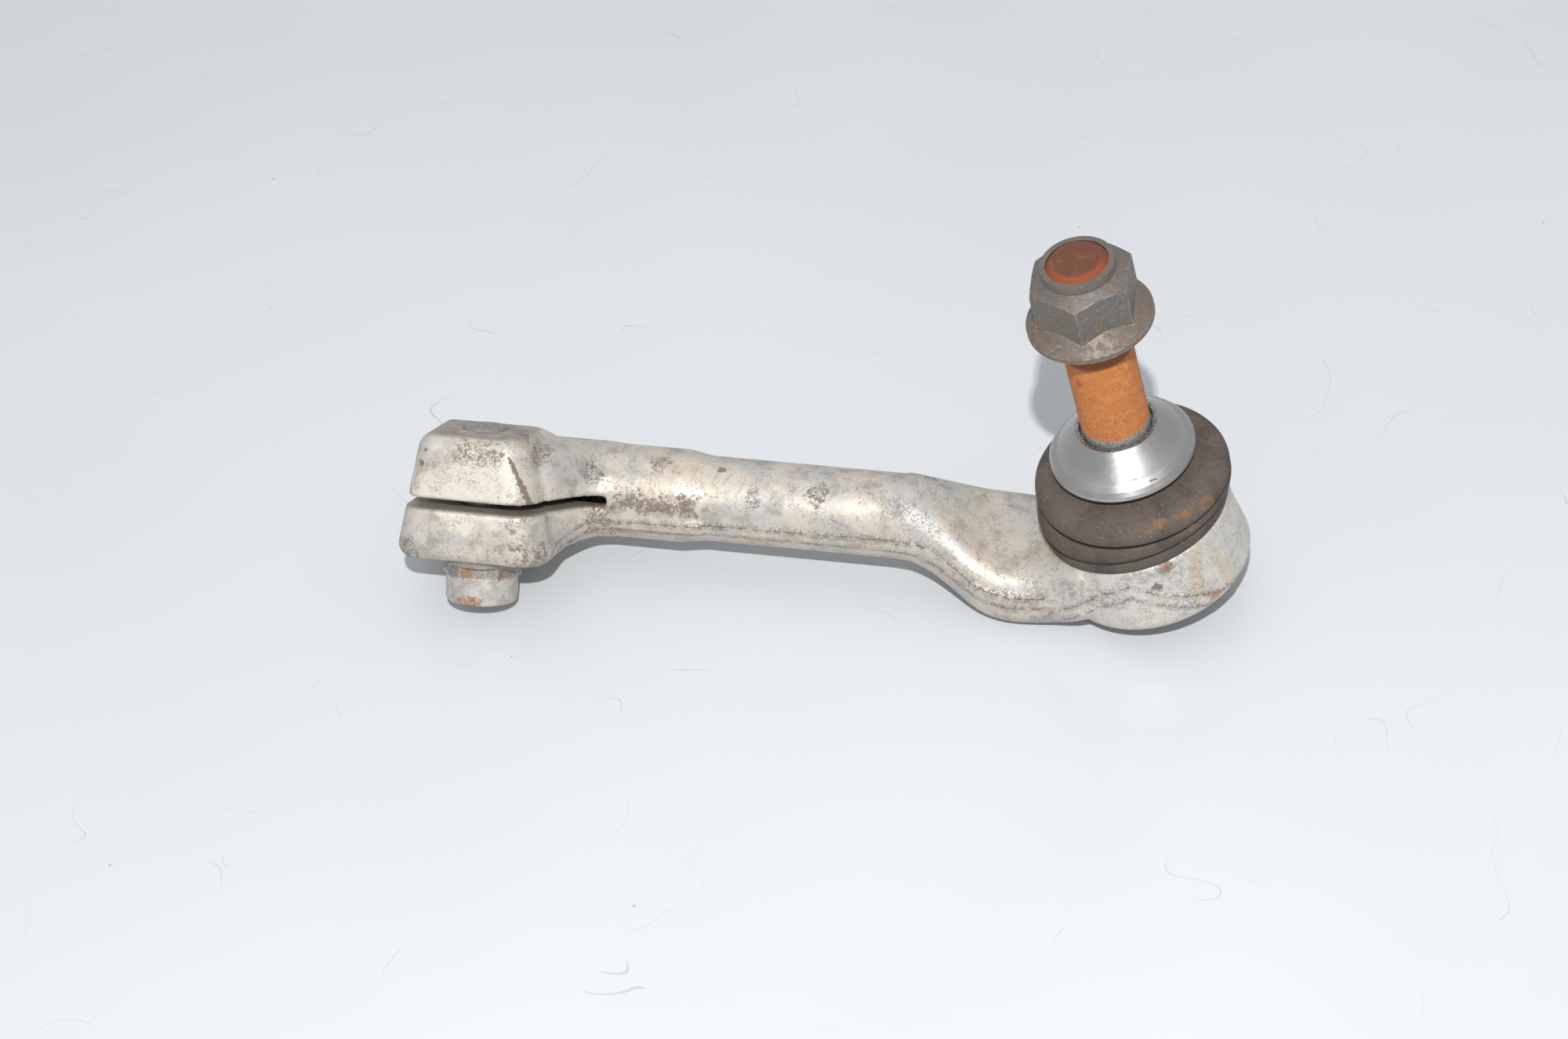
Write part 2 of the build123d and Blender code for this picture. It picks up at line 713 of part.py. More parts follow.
def lower_ring(clearance):
    """Ring in the groove above the boot's foot, or its bed when given a clearance."""
    radius = boot_groove_radius + 0.3 * lower_ring_wire
    return boot_frame(boot_groove_height).location * wire_ring(radius, lower_ring_wire + clearance)


def boot_lower_ring():
    """Steel wire ring that grips the boot's foot on the socket's collar."""
    return lower_ring(0)


def boot_upper_ring():
    """Steel wire ring round the boot's lip below the cone ring."""
    frame = stud_frame() * Pos(0, 0, boot_top_height - boot_lip_height / 2 + 0.1)
    return frame * wire_ring(boot_lip_radius + upper_ring_wire + 0.3, upper_ring_wire)


nodes = {
    "forged_body": forged_body(),
    "ball_seat": ball_seat(),
    "closing_plate": closing_plate(),
    "ball_stud": ball_stud(),
    "cone_ring": cone_ring(),
    "flange_nut": flange_nut(),
    "dust_boot": dust_boot(),
    "boot_lower_ring": boot_lower_ring(),
    "boot_upper_ring": boot_upper_ring(),
    "pinch_bolt": pinch_bolt(),
}

for name, solid in nodes.items():
    export_step(solid, f"parts/{name}.step")
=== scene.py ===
"""Dressed model of a steering tie rod end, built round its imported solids.

The forging, the ball joint, the rubber boot and the pinch bolt are each a class that takes its
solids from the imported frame, adds the shapes that the solids leave out and gives every piece a
procedural finish. All lengths are in millimetres in the part's own frame unless a name or a
docstring says metres, and they turn into metres at the point where a mesh or a node is made.
"""

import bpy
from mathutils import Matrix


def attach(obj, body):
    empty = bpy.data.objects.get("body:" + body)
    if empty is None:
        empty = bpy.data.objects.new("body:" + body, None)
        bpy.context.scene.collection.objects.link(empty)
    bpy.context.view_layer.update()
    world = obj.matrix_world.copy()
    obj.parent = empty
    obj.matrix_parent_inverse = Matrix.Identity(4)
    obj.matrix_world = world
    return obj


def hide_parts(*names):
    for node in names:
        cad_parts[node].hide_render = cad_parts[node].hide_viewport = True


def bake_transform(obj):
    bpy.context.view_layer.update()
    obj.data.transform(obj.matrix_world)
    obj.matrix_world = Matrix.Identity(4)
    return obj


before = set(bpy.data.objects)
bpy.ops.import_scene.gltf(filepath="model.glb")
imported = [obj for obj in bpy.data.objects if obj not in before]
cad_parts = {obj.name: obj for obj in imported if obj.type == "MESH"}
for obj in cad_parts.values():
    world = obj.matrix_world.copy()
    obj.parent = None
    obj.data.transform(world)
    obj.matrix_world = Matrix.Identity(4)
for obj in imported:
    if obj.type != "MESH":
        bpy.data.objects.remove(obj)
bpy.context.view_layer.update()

import logging
import math
from dataclasses import dataclass
from enum import Enum
from functools import partial, reduce
from typing import Sequence

import bmesh
import bpy
from mathutils import Matrix, Vector

log = logging.getLogger("tie_rod_end")

MM = 0.001
Colour = tuple[float, float, float]
Point = tuple[float, float, float]
Span = tuple[float, float]
Pairs = tuple[Span, ...]
Material = bpy.types.Material
Piece = bpy.types.Object
Socket = bpy.types.NodeSocket
Feed = Socket | float | Sequence[float]

BORE_CENTRE: Point = (0.0, -2.65, -5.7)  # Point on the axis of the rod's bore
GIVES_NUMBER = ("DOT_PRODUCT", "LENGTH", "DISTANCE")  # Vector operations that give a number


class Body(Enum):
    """Bodies of the joint tree that new pieces can ride on."""

    ARM = "arm"
    BOOT = "boot"
    COLLAR = "collar"


class Slot(Enum):
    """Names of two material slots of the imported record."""

    ALUMINIUM = "forged_aluminium"
    RUBBER = "boot_rubber"


class Mix(Enum):
    """Ways in which one colour is laid over another."""

    OVER = "MIX"
    MULTIPLY = "MULTIPLY"


@dataclass(frozen=True)
class Axes:
    """Frames of the socket, the stud and the clamp, from the same angles as the solids."""

    # Lean of the socket's axis in degrees, away from the joint's free end
    socket_lean: float = 16.0
    stud_lean_back: float = 8.95  # Lean of the stud along the rod in degrees
    stud_lean_front: float = 3.0  # Lean of the stud across the rod in degrees
    clamp_roll: float = 31.0  # Turn of the pinch bolt about the rod in degrees

    def socket(self) -> Vector:
        """Returns the socket's axis."""
        lean = math.radians(self.socket_lean)
        return Vector((-math.sin(lean), 0, math.cos(lean)))

    def stud(self) -> Vector:
        """Returns the stud's axis."""
        leans = (self.stud_lean_back, self.stud_lean_front)
        return Vector((*(-math.tan(math.radians(lean)) for lean in leans), 1)).normalized()

    def along(self, axis: Vector) -> Matrix:
        """Returns a turned frame whose Z is an axis and whose X lies near the part's X."""
        side = Vector((0, 1, 0)).cross(axis).normalized()
        return Matrix((side, axis.cross(side), axis)).transposed()

    def clamp(self) -> Matrix:
        """Returns the clamp's frame, with Z along the pinch bolt."""
        return Matrix.Rotation(-math.radians(self.clamp_roll), 3, "X")


AXES = Axes()


class Paint:
    """A material's node tree, and the colour that its coats have given so far."""

    def __init__(self, name: str) -> None:
        """Makes the material with its shader and object coordinates.

        Args:
            name: Name of the material.
        """
        self.material = bpy.data.materials.new(name)
        self.material.use_nodes = True
        self.tree = self.material.node_tree
        self.shader = self.tree.nodes["Principled BSDF"]
        self.place = self.node("TexCoord").outputs["Object"]
        self.clouds: dict[tuple, Socket] = {}
        self.colour: Feed = (1.0, 1.0, 1.0)

    def node(self, kind: str, inputs: dict[int | str, Feed] | None = None,
             **settings: str | int | bool) -> bpy.types.Node:
        """Makes a node.

        Args:
            kind: Kind of the node.
            inputs: What goes into its inputs, by name or number.
            settings: Its own settings, by name.

        Returns:
            The node.
        """
        made = self.tree.nodes.new(f"ShaderNode{kind}")
        for name, setting in settings.items():
            setattr(made, name, setting)
        for name, value in (inputs or {}).items():
            self.feed(made.inputs[name], value)
        return made

    def feed(self, target: Socket, value: Feed) -> None:
        """Links a socket to a target, or sets the target where the value is plain.

        Args:
            target: Input socket.
            value: Output socket, number, vector or colour.
        """
        if isinstance(value, bpy.types.NodeSocket):
            self.tree.links.new(value, target)
        elif isinstance(value, (int, float)):
            target.default_value = value
        else:
            parts = list(value)
            if len(parts) == 3 and len(target.default_value) == 4:
                parts.append(1.0)
            target.default_value = parts

    def maths(self, how: str, *values: Feed) -> Socket:
        """Returns the result of a maths operation on one to three values."""
        return self.node("Math", dict(enumerate(values)), operation=how).outputs[0]

    def vector(self, how: str, *values: Feed) -> Socket:
        """Returns the vector or number that a vector operation gives."""
        made = self.node("VectorMath", dict(enumerate(values)), operation=how)
        return made.outputs["Value" if how in GIVES_NUMBER else "Vector"]

    def split(self, vector: Socket) -> tuple[Socket, ...]:
        """Returns the three parts of a vector."""
        return tuple(self.node("SeparateXYZ", {0: vector}).outputs)

    def join(self, *parts: Socket) -> Socket:
        """Returns a vector made of up to three parts."""
        return self.node("CombineXYZ", dict(enumerate(parts))).outputs[0]

    def local(self, axis: Vector) -> list[Socket]:
        """Returns the place's parts in metres, round the ball's centre with Z on an axis."""
        return [self.vector("DOT_PRODUCT", self.place, side) for side in AXES.along(axis).col]

    def away(self, point: Point) -> Socket:
        """Returns the way from a point to the place, in metres."""
        return self.vector("SUBTRACT", self.place, [c * MM for c in point])

    def gap(self, value: Feed, other: Feed) -> Socket:
        """Returns how far two values lie apart."""
        return self.maths("ABSOLUTE", self.maths("SUBTRACT", value, other))

    def stray(self, value: Socket, cloud: Socket, reach: float) -> Socket:
        """Returns a value in metres that strays to both sides with noise."""
        return self.maths("MULTIPLY_ADD", self.maths("SUBTRACT", cloud, 0.5), reach * MM, value)

    def most(self, *masks: Socket) -> Socket:
        """Returns the greatest of several masks."""
        return reduce(partial(self.maths, "MAXIMUM"), masks)

    def both(self, *masks: Feed) -> Socket:
        """Returns the product of several masks and factors."""
        return reduce(partial(self.maths, "MULTIPLY"), masks)

    def span(self, value: Socket, low: float, high: float, first: float = 0.0,
             last: float = 1.0) -> Socket:
        """Maps a value from a span to another, smoothly and without overshoot.

        Args:
            value: Socket to map.
            low: Value that gives first.
            high: Value that gives last.
            first: Result at low.
            last: Result at high.

        Returns:
            The mapped value.
        """
        limits = {"From Min": low, "From Max": high, "To Min": first, "To Max": last}
        made = self.node("MapRange", limits | {"Value": value}, interpolation_type="SMOOTHSTEP")
        return made.outputs["Result"]

    def rise(self, value: Socket, low: float, high: float, *ends: float) -> Socket:
        """Returns what span gives for a value in metres, with low and high in millimetres."""
        return self.span(value, low * MM, high * MM, *ends)

    def near(self, value: Socket, centre: Feed, width: float) -> Socket:
        """Returns a mask that is 1 where a value lies near another, both in metres."""
        return self.rise(self.gap(value, centre), width, 0.3 * width)

    def noise(self, size: float, detail: float = 4.0, roughness: float = 0.55,
              twist: float = 0.0, at: Socket | None = None) -> Socket:
        """Gives cloudy noise, made once for each set of sizes.

        Args:
            size: Size of its blobs.
            detail: Number of finer layers.
            roughness: Weight of the finer layers.
            twist: Distortion of its shapes.
            at: Place to read it at; the object's own place where none is given.

        Returns:
            Its value, from 0 to 1 round one half.
        """
        key = (size, detail, roughness, twist, at)
        if key not in self.clouds:
            made = self.node("TexNoise", {
                "Vector": at or self.place, "Scale": 1.0 / (size * MM), "Detail": detail,
                "Roughness": roughness, "Distortion": twist,
            })
            self.clouds[key] = made.outputs["Fac"]
        return self.clouds[key]

    def cells(self, size: float) -> Socket:
        """Returns the distance to the nearest of scattered points, in cells of a size."""
        inputs = {"Vector": self.place, "Scale": 1.0 / (size * MM)}
        return self.node("TexVoronoi", inputs, feature="F1").outputs["Distance"]

    def contour(self, size: float, width: float, detail: float = 2.0, twist: float = 0.0) -> Socket:
        """Returns a mask of thin closed lines, where cloudy noise passes its middle."""
        return self.span(self.gap(self.noise(size, detail, 0.5, twist), 0.5), width, 0.35 * width)

    def streak(self, start: Point, end: Point, width: float, ragged: float,
               grain: float) -> Socket:
        """Masks a ragged line from one point to another.

        Args:
            start: Where the line starts.
            end: Where it ends.
            width: Half of its width.
            ragged: Share of the width by which its edge wanders.
            grain: Size of the wandering.

        Returns:
            The mask.
        """
        run = (Vector(end) - Vector(start)) * MM
        away = self.away(start)
        share = self.vector("DOT_PRODUCT", away, run / run.length_squared)
        share = self.maths("MINIMUM", self.maths("MAXIMUM", share, 0.0), 1.0)
        scaled = self.node("VectorMath", {0: run, "Scale": share}, operation="SCALE")
        far = self.vector("DISTANCE", away, scaled.outputs["Vector"])
        edge = self.stray(far, self.noise(grain, 4.0, 0.65), 3.0 * ragged * width)
        return self.span(edge, width * MM * 1.15, width * MM * 0.8)

    def curve(self, value: Socket, points: Pairs, reach: Sequence[float]) -> Socket:
        """Follows a curve from its first point to its last.

        Args:
            value: Place along the curve, in metres.
            points: Pairs of a place and a height.
            reach: Least and greatest height.

        Returns:
            The height, in metres.
        """
        made = self.node("FloatCurve")
        line = made.mapping.curves[0]
        start, low = points[0][0], reach[0]
        length, rise = points[-1][0] - start, reach[1] - low
        scaled = [((x - start) / length, (z - low) / rise) for x, z in points]
        line.points[0].location, line.points[1].location = scaled[0], scaled[-1]
        for x, z in scaled[1:-1]:
            line.points.new(x, z)
        made.mapping.update()
        share = self.maths("MULTIPLY_ADD", value, 1 / (length * MM), -start / length)
        self.feed(made.inputs["Value"], share)
        return self.maths("MULTIPLY_ADD", made.outputs["Value"], rise * MM, low * MM)

    def edges(self, radius: float) -> Socket:
        """Masks the sharp edges, outer and inner.

        Args:
            radius: Reach of the mask from the edge.

        Returns:
            The mask.
        """
        rounded = self.node("Bevel", {"Radius": radius * MM}, samples=6)
        true = self.node("NewGeometry").outputs["Normal"]
        return self.span(self.vector("DOT_PRODUCT", rounded.outputs["Normal"], true), 0.985, 0.88)

    def lay(self, under: Feed, over: Feed, mask: Feed, how: Mix = Mix.OVER) -> Socket:
        """Lays one colour over another.

        Args:
            under: The colour below.
            over: The colour above.
            mask: Share of the upper colour.
            how: Way in which it is laid.

        Returns:
            The mixed colour.
        """
        made = self.node("Mix", {"Factor": mask}, data_type="RGBA", blend_type=how.value)
        colours = [socket for socket in made.inputs if socket.type == "RGBA"]
        self.feed(colours[0], under)
        self.feed(colours[1], over)
        return next(socket for socket in made.outputs if socket.type == "RGBA")

    def coat(self, over: Feed, *masks: Feed, how: Mix = Mix.OVER) -> None:
        """Lays a coat over the colour so far, covering as the product of its masks says."""
        self.colour = self.lay(self.colour, over, self.both(*masks), how)

    def shade(self, base: Colour, mask: Socket, low: float, high: float) -> None:
        """Starts the colour as a base that a mask makes low or high times as bright."""
        self.colour = self.lay([c * low for c in base], [c * high for c in base], mask)

    def relief(self, *layers: tuple[Socket, float]) -> None:
        """Gives the shader bumps from several layers.

        Args:
            layers: Pairs of a height from 0 to 1 and its depth.
        """
        normal = None
        for height, depth in layers:
            inputs = {"Distance": abs(depth) * MM, "Strength": 1.0, "Height": height}
            if normal:
                inputs["Normal"] = normal
            normal = self.node("Bump", inputs, invert=depth < 0).outputs["Normal"]
        self.feed(self.shader.inputs["Normal"], normal)

    def finish(self, roughness: Feed, metallic: Feed = 0.0, specular: float = 0.5) -> Material:
        """Feeds the colour so far and the gloss into the shader.

        Args:
            roughness: Roughness of the surface.
            metallic: Share of metal.
            specular: Level of its plain reflection.

        Returns:
            The finished material.
        """
        settings = {"Base Color": self.colour, "Roughness": roughness, "Metallic": metallic,
                    "Specular IOR Level": specular}
        for name, value in settings.items():
            self.feed(self.shader.inputs[name], value)
        return self.material


def mesh_piece(name: str, points: Sequence[Vector], faces: Sequence[Sequence[int]],
               smooth: bool = True) -> Piece:
    """Makes a mesh object from points in millimetres.

    Args:
        name: Name of the piece.
        points: Its corners.
        faces: Its faces, as corner numbers.
        smooth: True for smooth shading.

    Returns:
        The linked object.
    """
    mesh = bpy.data.meshes.new(name)
    mesh.from_pydata([tuple(Vector(p) * MM) for p in points], [], faces)
    work = bmesh.new()
    work.from_mesh(mesh)
    bmesh.ops.delete(work, geom=[v for v in work.verts if not v.link_faces], context="VERTS")
    bmesh.ops.remove_doubles(work, verts=work.verts, dist=1e-7)
    bmesh.ops.recalc_face_normals(work, faces=work.faces)
    work.to_mesh(mesh)
    work.free()
    for face in mesh.polygons:
        face.use_smooth = smooth
    piece = bpy.data.objects.new(name, mesh)
    bpy.context.scene.collection.objects.link(piece)
    return piece


def swept_rings(rings: Sequence[Sequence[Vector]], closed: bool) -> list[list[int]]:
    """Returns the faces that join rings of equal length, one after another.

    Args:
        rings: Rings of points.
        closed: True where the last ring joins the first.

    Returns:
        Faces as corner numbers.
    """
    count = len(rings[0])
    last = len(rings) if closed else len(rings) - 1
    faces = []
    for ring in range(last):
        low = ring * count
        high = (ring + 1) % len(rings) * count
        for k in range(count):
            after = (k + 1) % count
            faces.append([low + k, low + after, high + after, high + k])
    return faces


def dress(piece: Piece, material: Material) -> Piece:
    """Gives a piece its only material.

    Args:
        piece: The piece.
        material: The material.

    Returns:
        The piece.
    """
    piece.data.materials.clear()
    piece.data.materials.append(material)
    return piece


def node(name: str) -> Piece:
    """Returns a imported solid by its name."""
    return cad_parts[name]


@dataclass(frozen=True)
class PartingLine:
    """The forging's parting band, along the rod and neck and round the socket."""

    band: float = 3.2  # Width of the band
    rod: float = -5.7  # Height of the band's middle along the rod
    rod_end: float = -60.0  # X up to which the band follows the rod
    reach: Span = (-20.0, 0.0)  # Least and greatest height between which the neck's band lies
    neck: Pairs = (  # Pairs of a place along X and the height of the band's middle
        (-53.9, -5.7), (-49.3, -5.9), (-44.2, -7.4), (-39.4, -9.8), (-34.2, -12.2),
        (-28.9, -13.2), (-21.9, -13.2), (-15.3, -10.7),
    )
    peak: float = -4.2  # Height of the band's middle at the socket's front, along the socket's axis
    slope: float = 32.0  # Fall of the band towards the socket's free end, in degrees
    neck_slope: float = 20.0  # Fall of the band towards the neck, in degrees
    meeting: float = -18.5  # X where the neck's band gives way to the socket's

    def offset(self, p: Paint) -> Socket:
        """Works out how far the place lies from the band's middle.

        Args:
            p: The material in work.

        Returns:
            The distance, in metres.
        """
        x, _, z = p.split(p.place)
        along = p.gap(z, p.curve(x, ((self.rod_end, self.rod),) + self.neck, self.reach))
        across, _, up = p.local(AXES.socket())
        slopes = math.tan(math.radians(self.slope)), -math.tan(math.radians(self.neck_slope))
        fall = p.most(*(p.maths("MULTIPLY", across, slope) for slope in slopes))
        ring = p.gap(p.maths("ADD", up, fall), self.peak * MM)
        at_socket = p.maths("GREATER_THAN", x, self.meeting * MM)
        at_neck = p.maths("SUBTRACT", 1.0, at_socket)
        return p.maths("ADD", p.both(ring, at_socket), p.both(along, at_neck))

    def lines(self, p: Paint, width: float) -> Socket:
        """Returns a mask of the band's two edges, as lines of a width."""
        return p.near(self.offset(p), self.band / 2 * MM, width)


@dataclass(frozen=True)
class Stain:
    """A patch of dirt, rust or painted highlight at a place on the object."""

    place: Point  # Its centre
    radius: float
    # Factors along X, Y and Z; below 1 makes the patch longer that way
    squeeze: Point = (1.0, 1.0, 1.0)

    def mask(self, p: Paint, ragged: float, grain: float) -> Socket:
        """Masks the patch with a ragged edge.

        Args:
            p: The material in work.
            ragged: Share of the radius by which the edge wanders.
            grain: Size of the wandering.

        Returns:
            The mask.
        """
        far = p.vector("LENGTH", p.vector("MULTIPLY", p.away(self.place), self.squeeze))
        edge = p.stray(far, p.noise(grain, 5.0, 0.65), 2.4 * ragged * self.radius)
        return p.span(edge, self.radius * MM * 1.08, self.radius * MM * 0.82)


Stains = tuple[Stain, ...]


@dataclass(frozen=True)
class ForgedAluminium:
    """Blasted aluminium forging, dull from road dirt, pitted and stained brown."""

    warm: Colour = (0.63, 0.56, 0.475)  # Metal under thin beige dirt
    grey: Colour = (0.50, 0.487, 0.460)  # Cleaner metal
    pale: Colour = (0.64, 0.62, 0.58)  # Scuffed metal round the socket
    brown: Colour = (0.105, 0.063, 0.040)  # Pits, specks and stains
    grime: Colour = (0.27, 0.255, 0.235)  # Grey smudges
    clamp_shade_and_dirt: Colour = (0.27, 0.235, 0.205)  # Brown-grey painted shade on the clamp's top, and painted shade with dirt in its slot
    yellow: Colour = (0.52, 0.40, 0.19)  # Dried runs on the socket
    rust: Colour = (0.33, 0.135, 0.06)  # Rust washed onto the socket
    stains: Stains = (  # Brown speckled stains
        Stain((-149.0, -20.3, 19.4), 3.6, (0.7, 1.0, 1.2)), Stain((-137.0, -12.8, 15.5), 4.2),
        Stain((-126.0, -8.5, 4.8), 2.6), Stain((-116.0, -12.2, -0.2), 3.4, (0.45, 1.0, 1.2)),
        Stain((-105.0, -11.6, -0.2), 3.4, (0.4, 1.0, 1.2)), Stain((-111.0, -3.8, 5.1), 2.6),
        Stain((-134.5, -31.5, -2.2), 3.6, (0.5, 1, 1)), Stain((-166.0, -32.4, -1.7), 3.4),
        Stain((-124.0, -12.6, -6.0), 4.5, (0.8, 1.0, 0.8)), Stain((-141.0, -30.0, 5.5), 1.6),
        Stain((8.7, -19.3, 2.0), 2.3), Stain((-73.0, -7.0, 3.0), 2.6),
        Stain((-88.0, -9.0, 1.0), 2.4), Stain((-48.5, 5.0, 3.0), 3.0, (0.6, 1, 1)),
    )
    solid: Stains = (  # Small places where the brown dirt is solid
        Stain((-96.8, -3.0, 4.3), 0.7, (0.6, 1, 1)), Stain((-162.3, -22.1, 16.4), 0.8),
        Stain((-161.4, -20.4, 19.0), 0.5), Stain((-122.4, -9.0, -5.6), 3.4),
        Stain((7.4, -20.6, -2.6), 1.2),
    )
    smudges: Stains = (  # Grey rubbed smudges
        Stain((-61.9, -12.6, -5.0), 3.4, (0.3, 1.0, 1.8)),
        Stain((-22.7, -20.0, -12.3), 4.6, (0.5, 1, 1)),
        Stain((-8.0, -20.8, -7.5), 4.0, (0.5, 1.0, 1.2)),
        Stain((12.0, -19.0, -9.0), 3.6, (0.6, 1, 1)), Stain((10.5, -18.2, 1.8), 4.2, (0.8, 1, 1)),
        Stain((3.0, -21.5, 0.5), 2.6, (0.6, 1, 1)),
        Stain((16.0, -17.0, -6.2), 3.0, (0.6, 0.6, 1.4)),
        Stain((-37.0, -15.5, -10.6), 3.2, (0.5, 1, 1)),
    )
    # Brown scrape down the clamp's front corner, from point to point
    scratch: tuple[Point, ...] = (
        (-142.0, -19.9, 19.2), (-140.9, -20.9, 17.6), (-139.0, -22.6, 13.5), (-136.6, -24.7, 8.0),
    )
    scratch_widths: Point = (0.32, 0.5, 0.72)
    runs: tuple[tuple[Point, Point], ...] = (  # Yellow dried runs on the socket
        ((15.0, -14.5, 4.4), (15.8, -17.6, -6.2)), ((19.0, -11.6, 0.6), (22.6, -11.0, -7.6)),
    )
    washed: Stains = (  # Places where rust was washed onto the socket
        Stain((20.0, -15.6, -8.4), 1.5, (0.6, 1, 1.3)), Stain((9.0, -19.2, 2.6), 1.6),
    )
    # Painted highlight: a pale patch on the clamp's upper ear
    painted_highlight: Stain = Stain((-151.0, -25.0, 11.0), 9.0, (0.7, 1, 1))
    # Start and end of the dirty streak along the rod
    tube: tuple[Point, Point] = ((-119.0, -12.3, -0.4), (-103.0, -11.7, -0.3))
    pale_places: Span = (-22, -4)  # X between which the pale metal starts
    front_places: Span = (6, -4)  # Y between which the parting line's dirt grows to the front
    shade_rise: Span = (14.9, 15.6)  # Heights over the clamp's split between which the painted shade starts
    shade_edge: Span = (16.35, 16.05)  # Heights between which it fades at the clamp's outer edge
    shade_places: Span = (-120, -128)  # X between which it starts on the clamp
    # Distances in front of the bore between which the slot's painted shade starts
    slot_fronts: Span = (-7, -9)
    slot_places: Span = (-122.6, -123.0)  # X between which it starts
    slot_middle: float = -0.6  # Height of the slot's middle over the clamp's split
    slot_reach: float = 2.3  # How far its painted shade reaches up and down
    parting: PartingLine = PartingLine()

    def metal(self, p: Paint, fine: Socket) -> None:
        """Lays the colours of the metal, beige, grey and scuffed, and a painted highlight on the
        clamp's upper ear.

        Args:
            p: The material in work.
            fine: Its fine noise.
        """
        p.colour = self.warm
        p.coat(self.grey, p.span(p.noise(20, 4, 0.6, 0.5), 0.42, 0.60))
        p.coat((0.72, 0.71, 0.69), p.span(p.noise(6, 5, 0.62), 0.48, 0.68), how=Mix.MULTIPLY)
        p.coat(self.pale, p.rise(p.split(p.place)[0], *self.pale_places), 0.75)
        # Painted highlight on the clamp's upper ear
        p.coat((0.80, 0.74, 0.65), self.painted_highlight.mask(p, 0.8, 9.0), 0.7)
        p.coat((0.80, 0.79, 0.78), p.span(fine, 0.35, 0.70, 0.0, 0.5), how=Mix.MULTIPLY)

    def clamp_shade_and_dirt_mask(self, p: Paint) -> Socket:
        """Masks the painted shade on the clamp's top, and the painted shade with dirt in its slot.

        Args:
            p: The material in work.

        Returns:
            The mask.
        """
        x = p.split(p.place)[0]
        away = p.away(BORE_CENTRE)
        up = p.vector("DOT_PRODUCT", away, AXES.clamp().col[2])
        out = p.vector("DOT_PRODUCT", away, AXES.clamp().col[1])
        cloudy = p.span(p.noise(3.5, 5, 0.7), 0.34, 0.62, 0.45, 1.0)
        top = p.both(p.rise(up, *self.shade_rise), p.rise(x, *self.shade_places), cloudy,
                     p.rise(up, *self.shade_edge, 0.35, 0.95))
        front = p.both(p.rise(out, *self.slot_fronts), p.rise(x, *self.slot_places))
        slot = p.both(p.near(up, self.slot_middle * MM, self.slot_reach), front, 0.95)
        return p.most(top, slot)

    def specks(self, p: Paint, fine: Socket) -> Socket:
        """Masks the brown specks, worm-like lines and speckled stains.

        Args:
            p: The material in work.
            fine: Its fine noise; not used.

        Returns:
            The mask.
        """
        clusters = p.span(p.noise(4.2, 5, 0.66, 0.9), 0.46, 0.57)
        lines = p.both(p.contour(1.15, 0.040), p.span(p.noise(0.35, 2, 0.6), 0.46, 0.54))
        grains = p.span(p.noise(0.36, 3, 0.75), 0.585, 0.635)
        sparse = p.span(p.cells(2.2), 0.075, 0.04)
        tube = p.streak(*self.tube, 1.0, 1.6, 2.4)
        coarse = p.noise(1.3, 6, 0.8, 0.6)
        dense = p.most(p.both(p.span(coarse, 0.53, 0.57), 0.9),
                       p.both(p.span(p.noise(0.45, 3, 0.75), 0.53, 0.59), 0.8))
        stains = p.most(*(stain.mask(p, 1.3, 3.2) for stain in self.stains))
        solid = p.most(*(stain.mask(p, 1.1, 0.9) for stain in self.solid))
        legs = zip(self.scratch, self.scratch[1:], self.scratch_widths)
        scrape = p.most(*(p.streak(a, b, width, 1.5, 0.9) for a, b, width in legs))
        return p.most(p.both(lines, clusters, 0.5), p.both(grains, clusters, 0.8),
                      p.both(sparse, 0.75), p.both(dense, stains), p.both(solid, 0.95),
                      p.both(scrape, 0.97), p.both(tube, p.span(coarse, 0.45, 0.50), 0.9))

    def build(self) -> Material:
        """Builds the forging's material, from the metal up to the dirt.

        Returns:
            The material.
        """
        p = Paint("pitted_forged_aluminium")
        fine = p.noise(0.8, 5, 0.7)
        self.metal(p, fine)
        rub = p.span(p.noise(1.6, 5, 0.75, 0.4), 0.44, 0.58)
        smudges = p.both(p.most(*(smudge.mask(p, 0.9, 2.6) for smudge in self.smudges)), rub)
        p.coat(self.grime, smudges, 0.5)
        # Painted shade on the clamp's top, and painted shade with dirt in its slot
        p.coat(self.clamp_shade_and_dirt, self.clamp_shade_and_dirt_mask(p))
        runs = p.most(*(p.streak(a, b, 1.8, 0.9, 4.0) for a, b in self.runs))
        p.coat(self.yellow, runs, p.span(fine, 0.3, 0.6, 0.15, 0.45))
        broken = p.span(p.noise(2.4, 5, 0.7), 0.36, 0.56)
        front = p.rise(p.split(p.place)[1], *self.front_places, 0.35, 0.7)
        p.coat(self.brown, self.parting.lines(p, 0.22), broken, front)
        dirt = p.both(self.parting.lines(p, 1.5), p.span(p.noise(0.6, 4, 0.75), 0.50, 0.56), broken)
        specks = p.most(self.specks(p, fine), p.both(dirt, front))
        p.coat(self.brown, specks, 0.85)
        p.coat(self.rust, p.most(*(stain.mask(p, 0.9, 1.2) for stain in self.washed)), 0.6)
        p.relief((fine, 0.045), (specks, -0.08), (p.noise(3.2, 4, 0.55), 0.13))
        rough = p.span(p.noise(20, 4, 0.6, 0.5), 0.35, 0.65, 0.43, 0.53)
        return p.finish(p.most(rough, p.both(specks, 0.85)), p.span(specks, 0.0, 1.0, 0.35, 0.0))


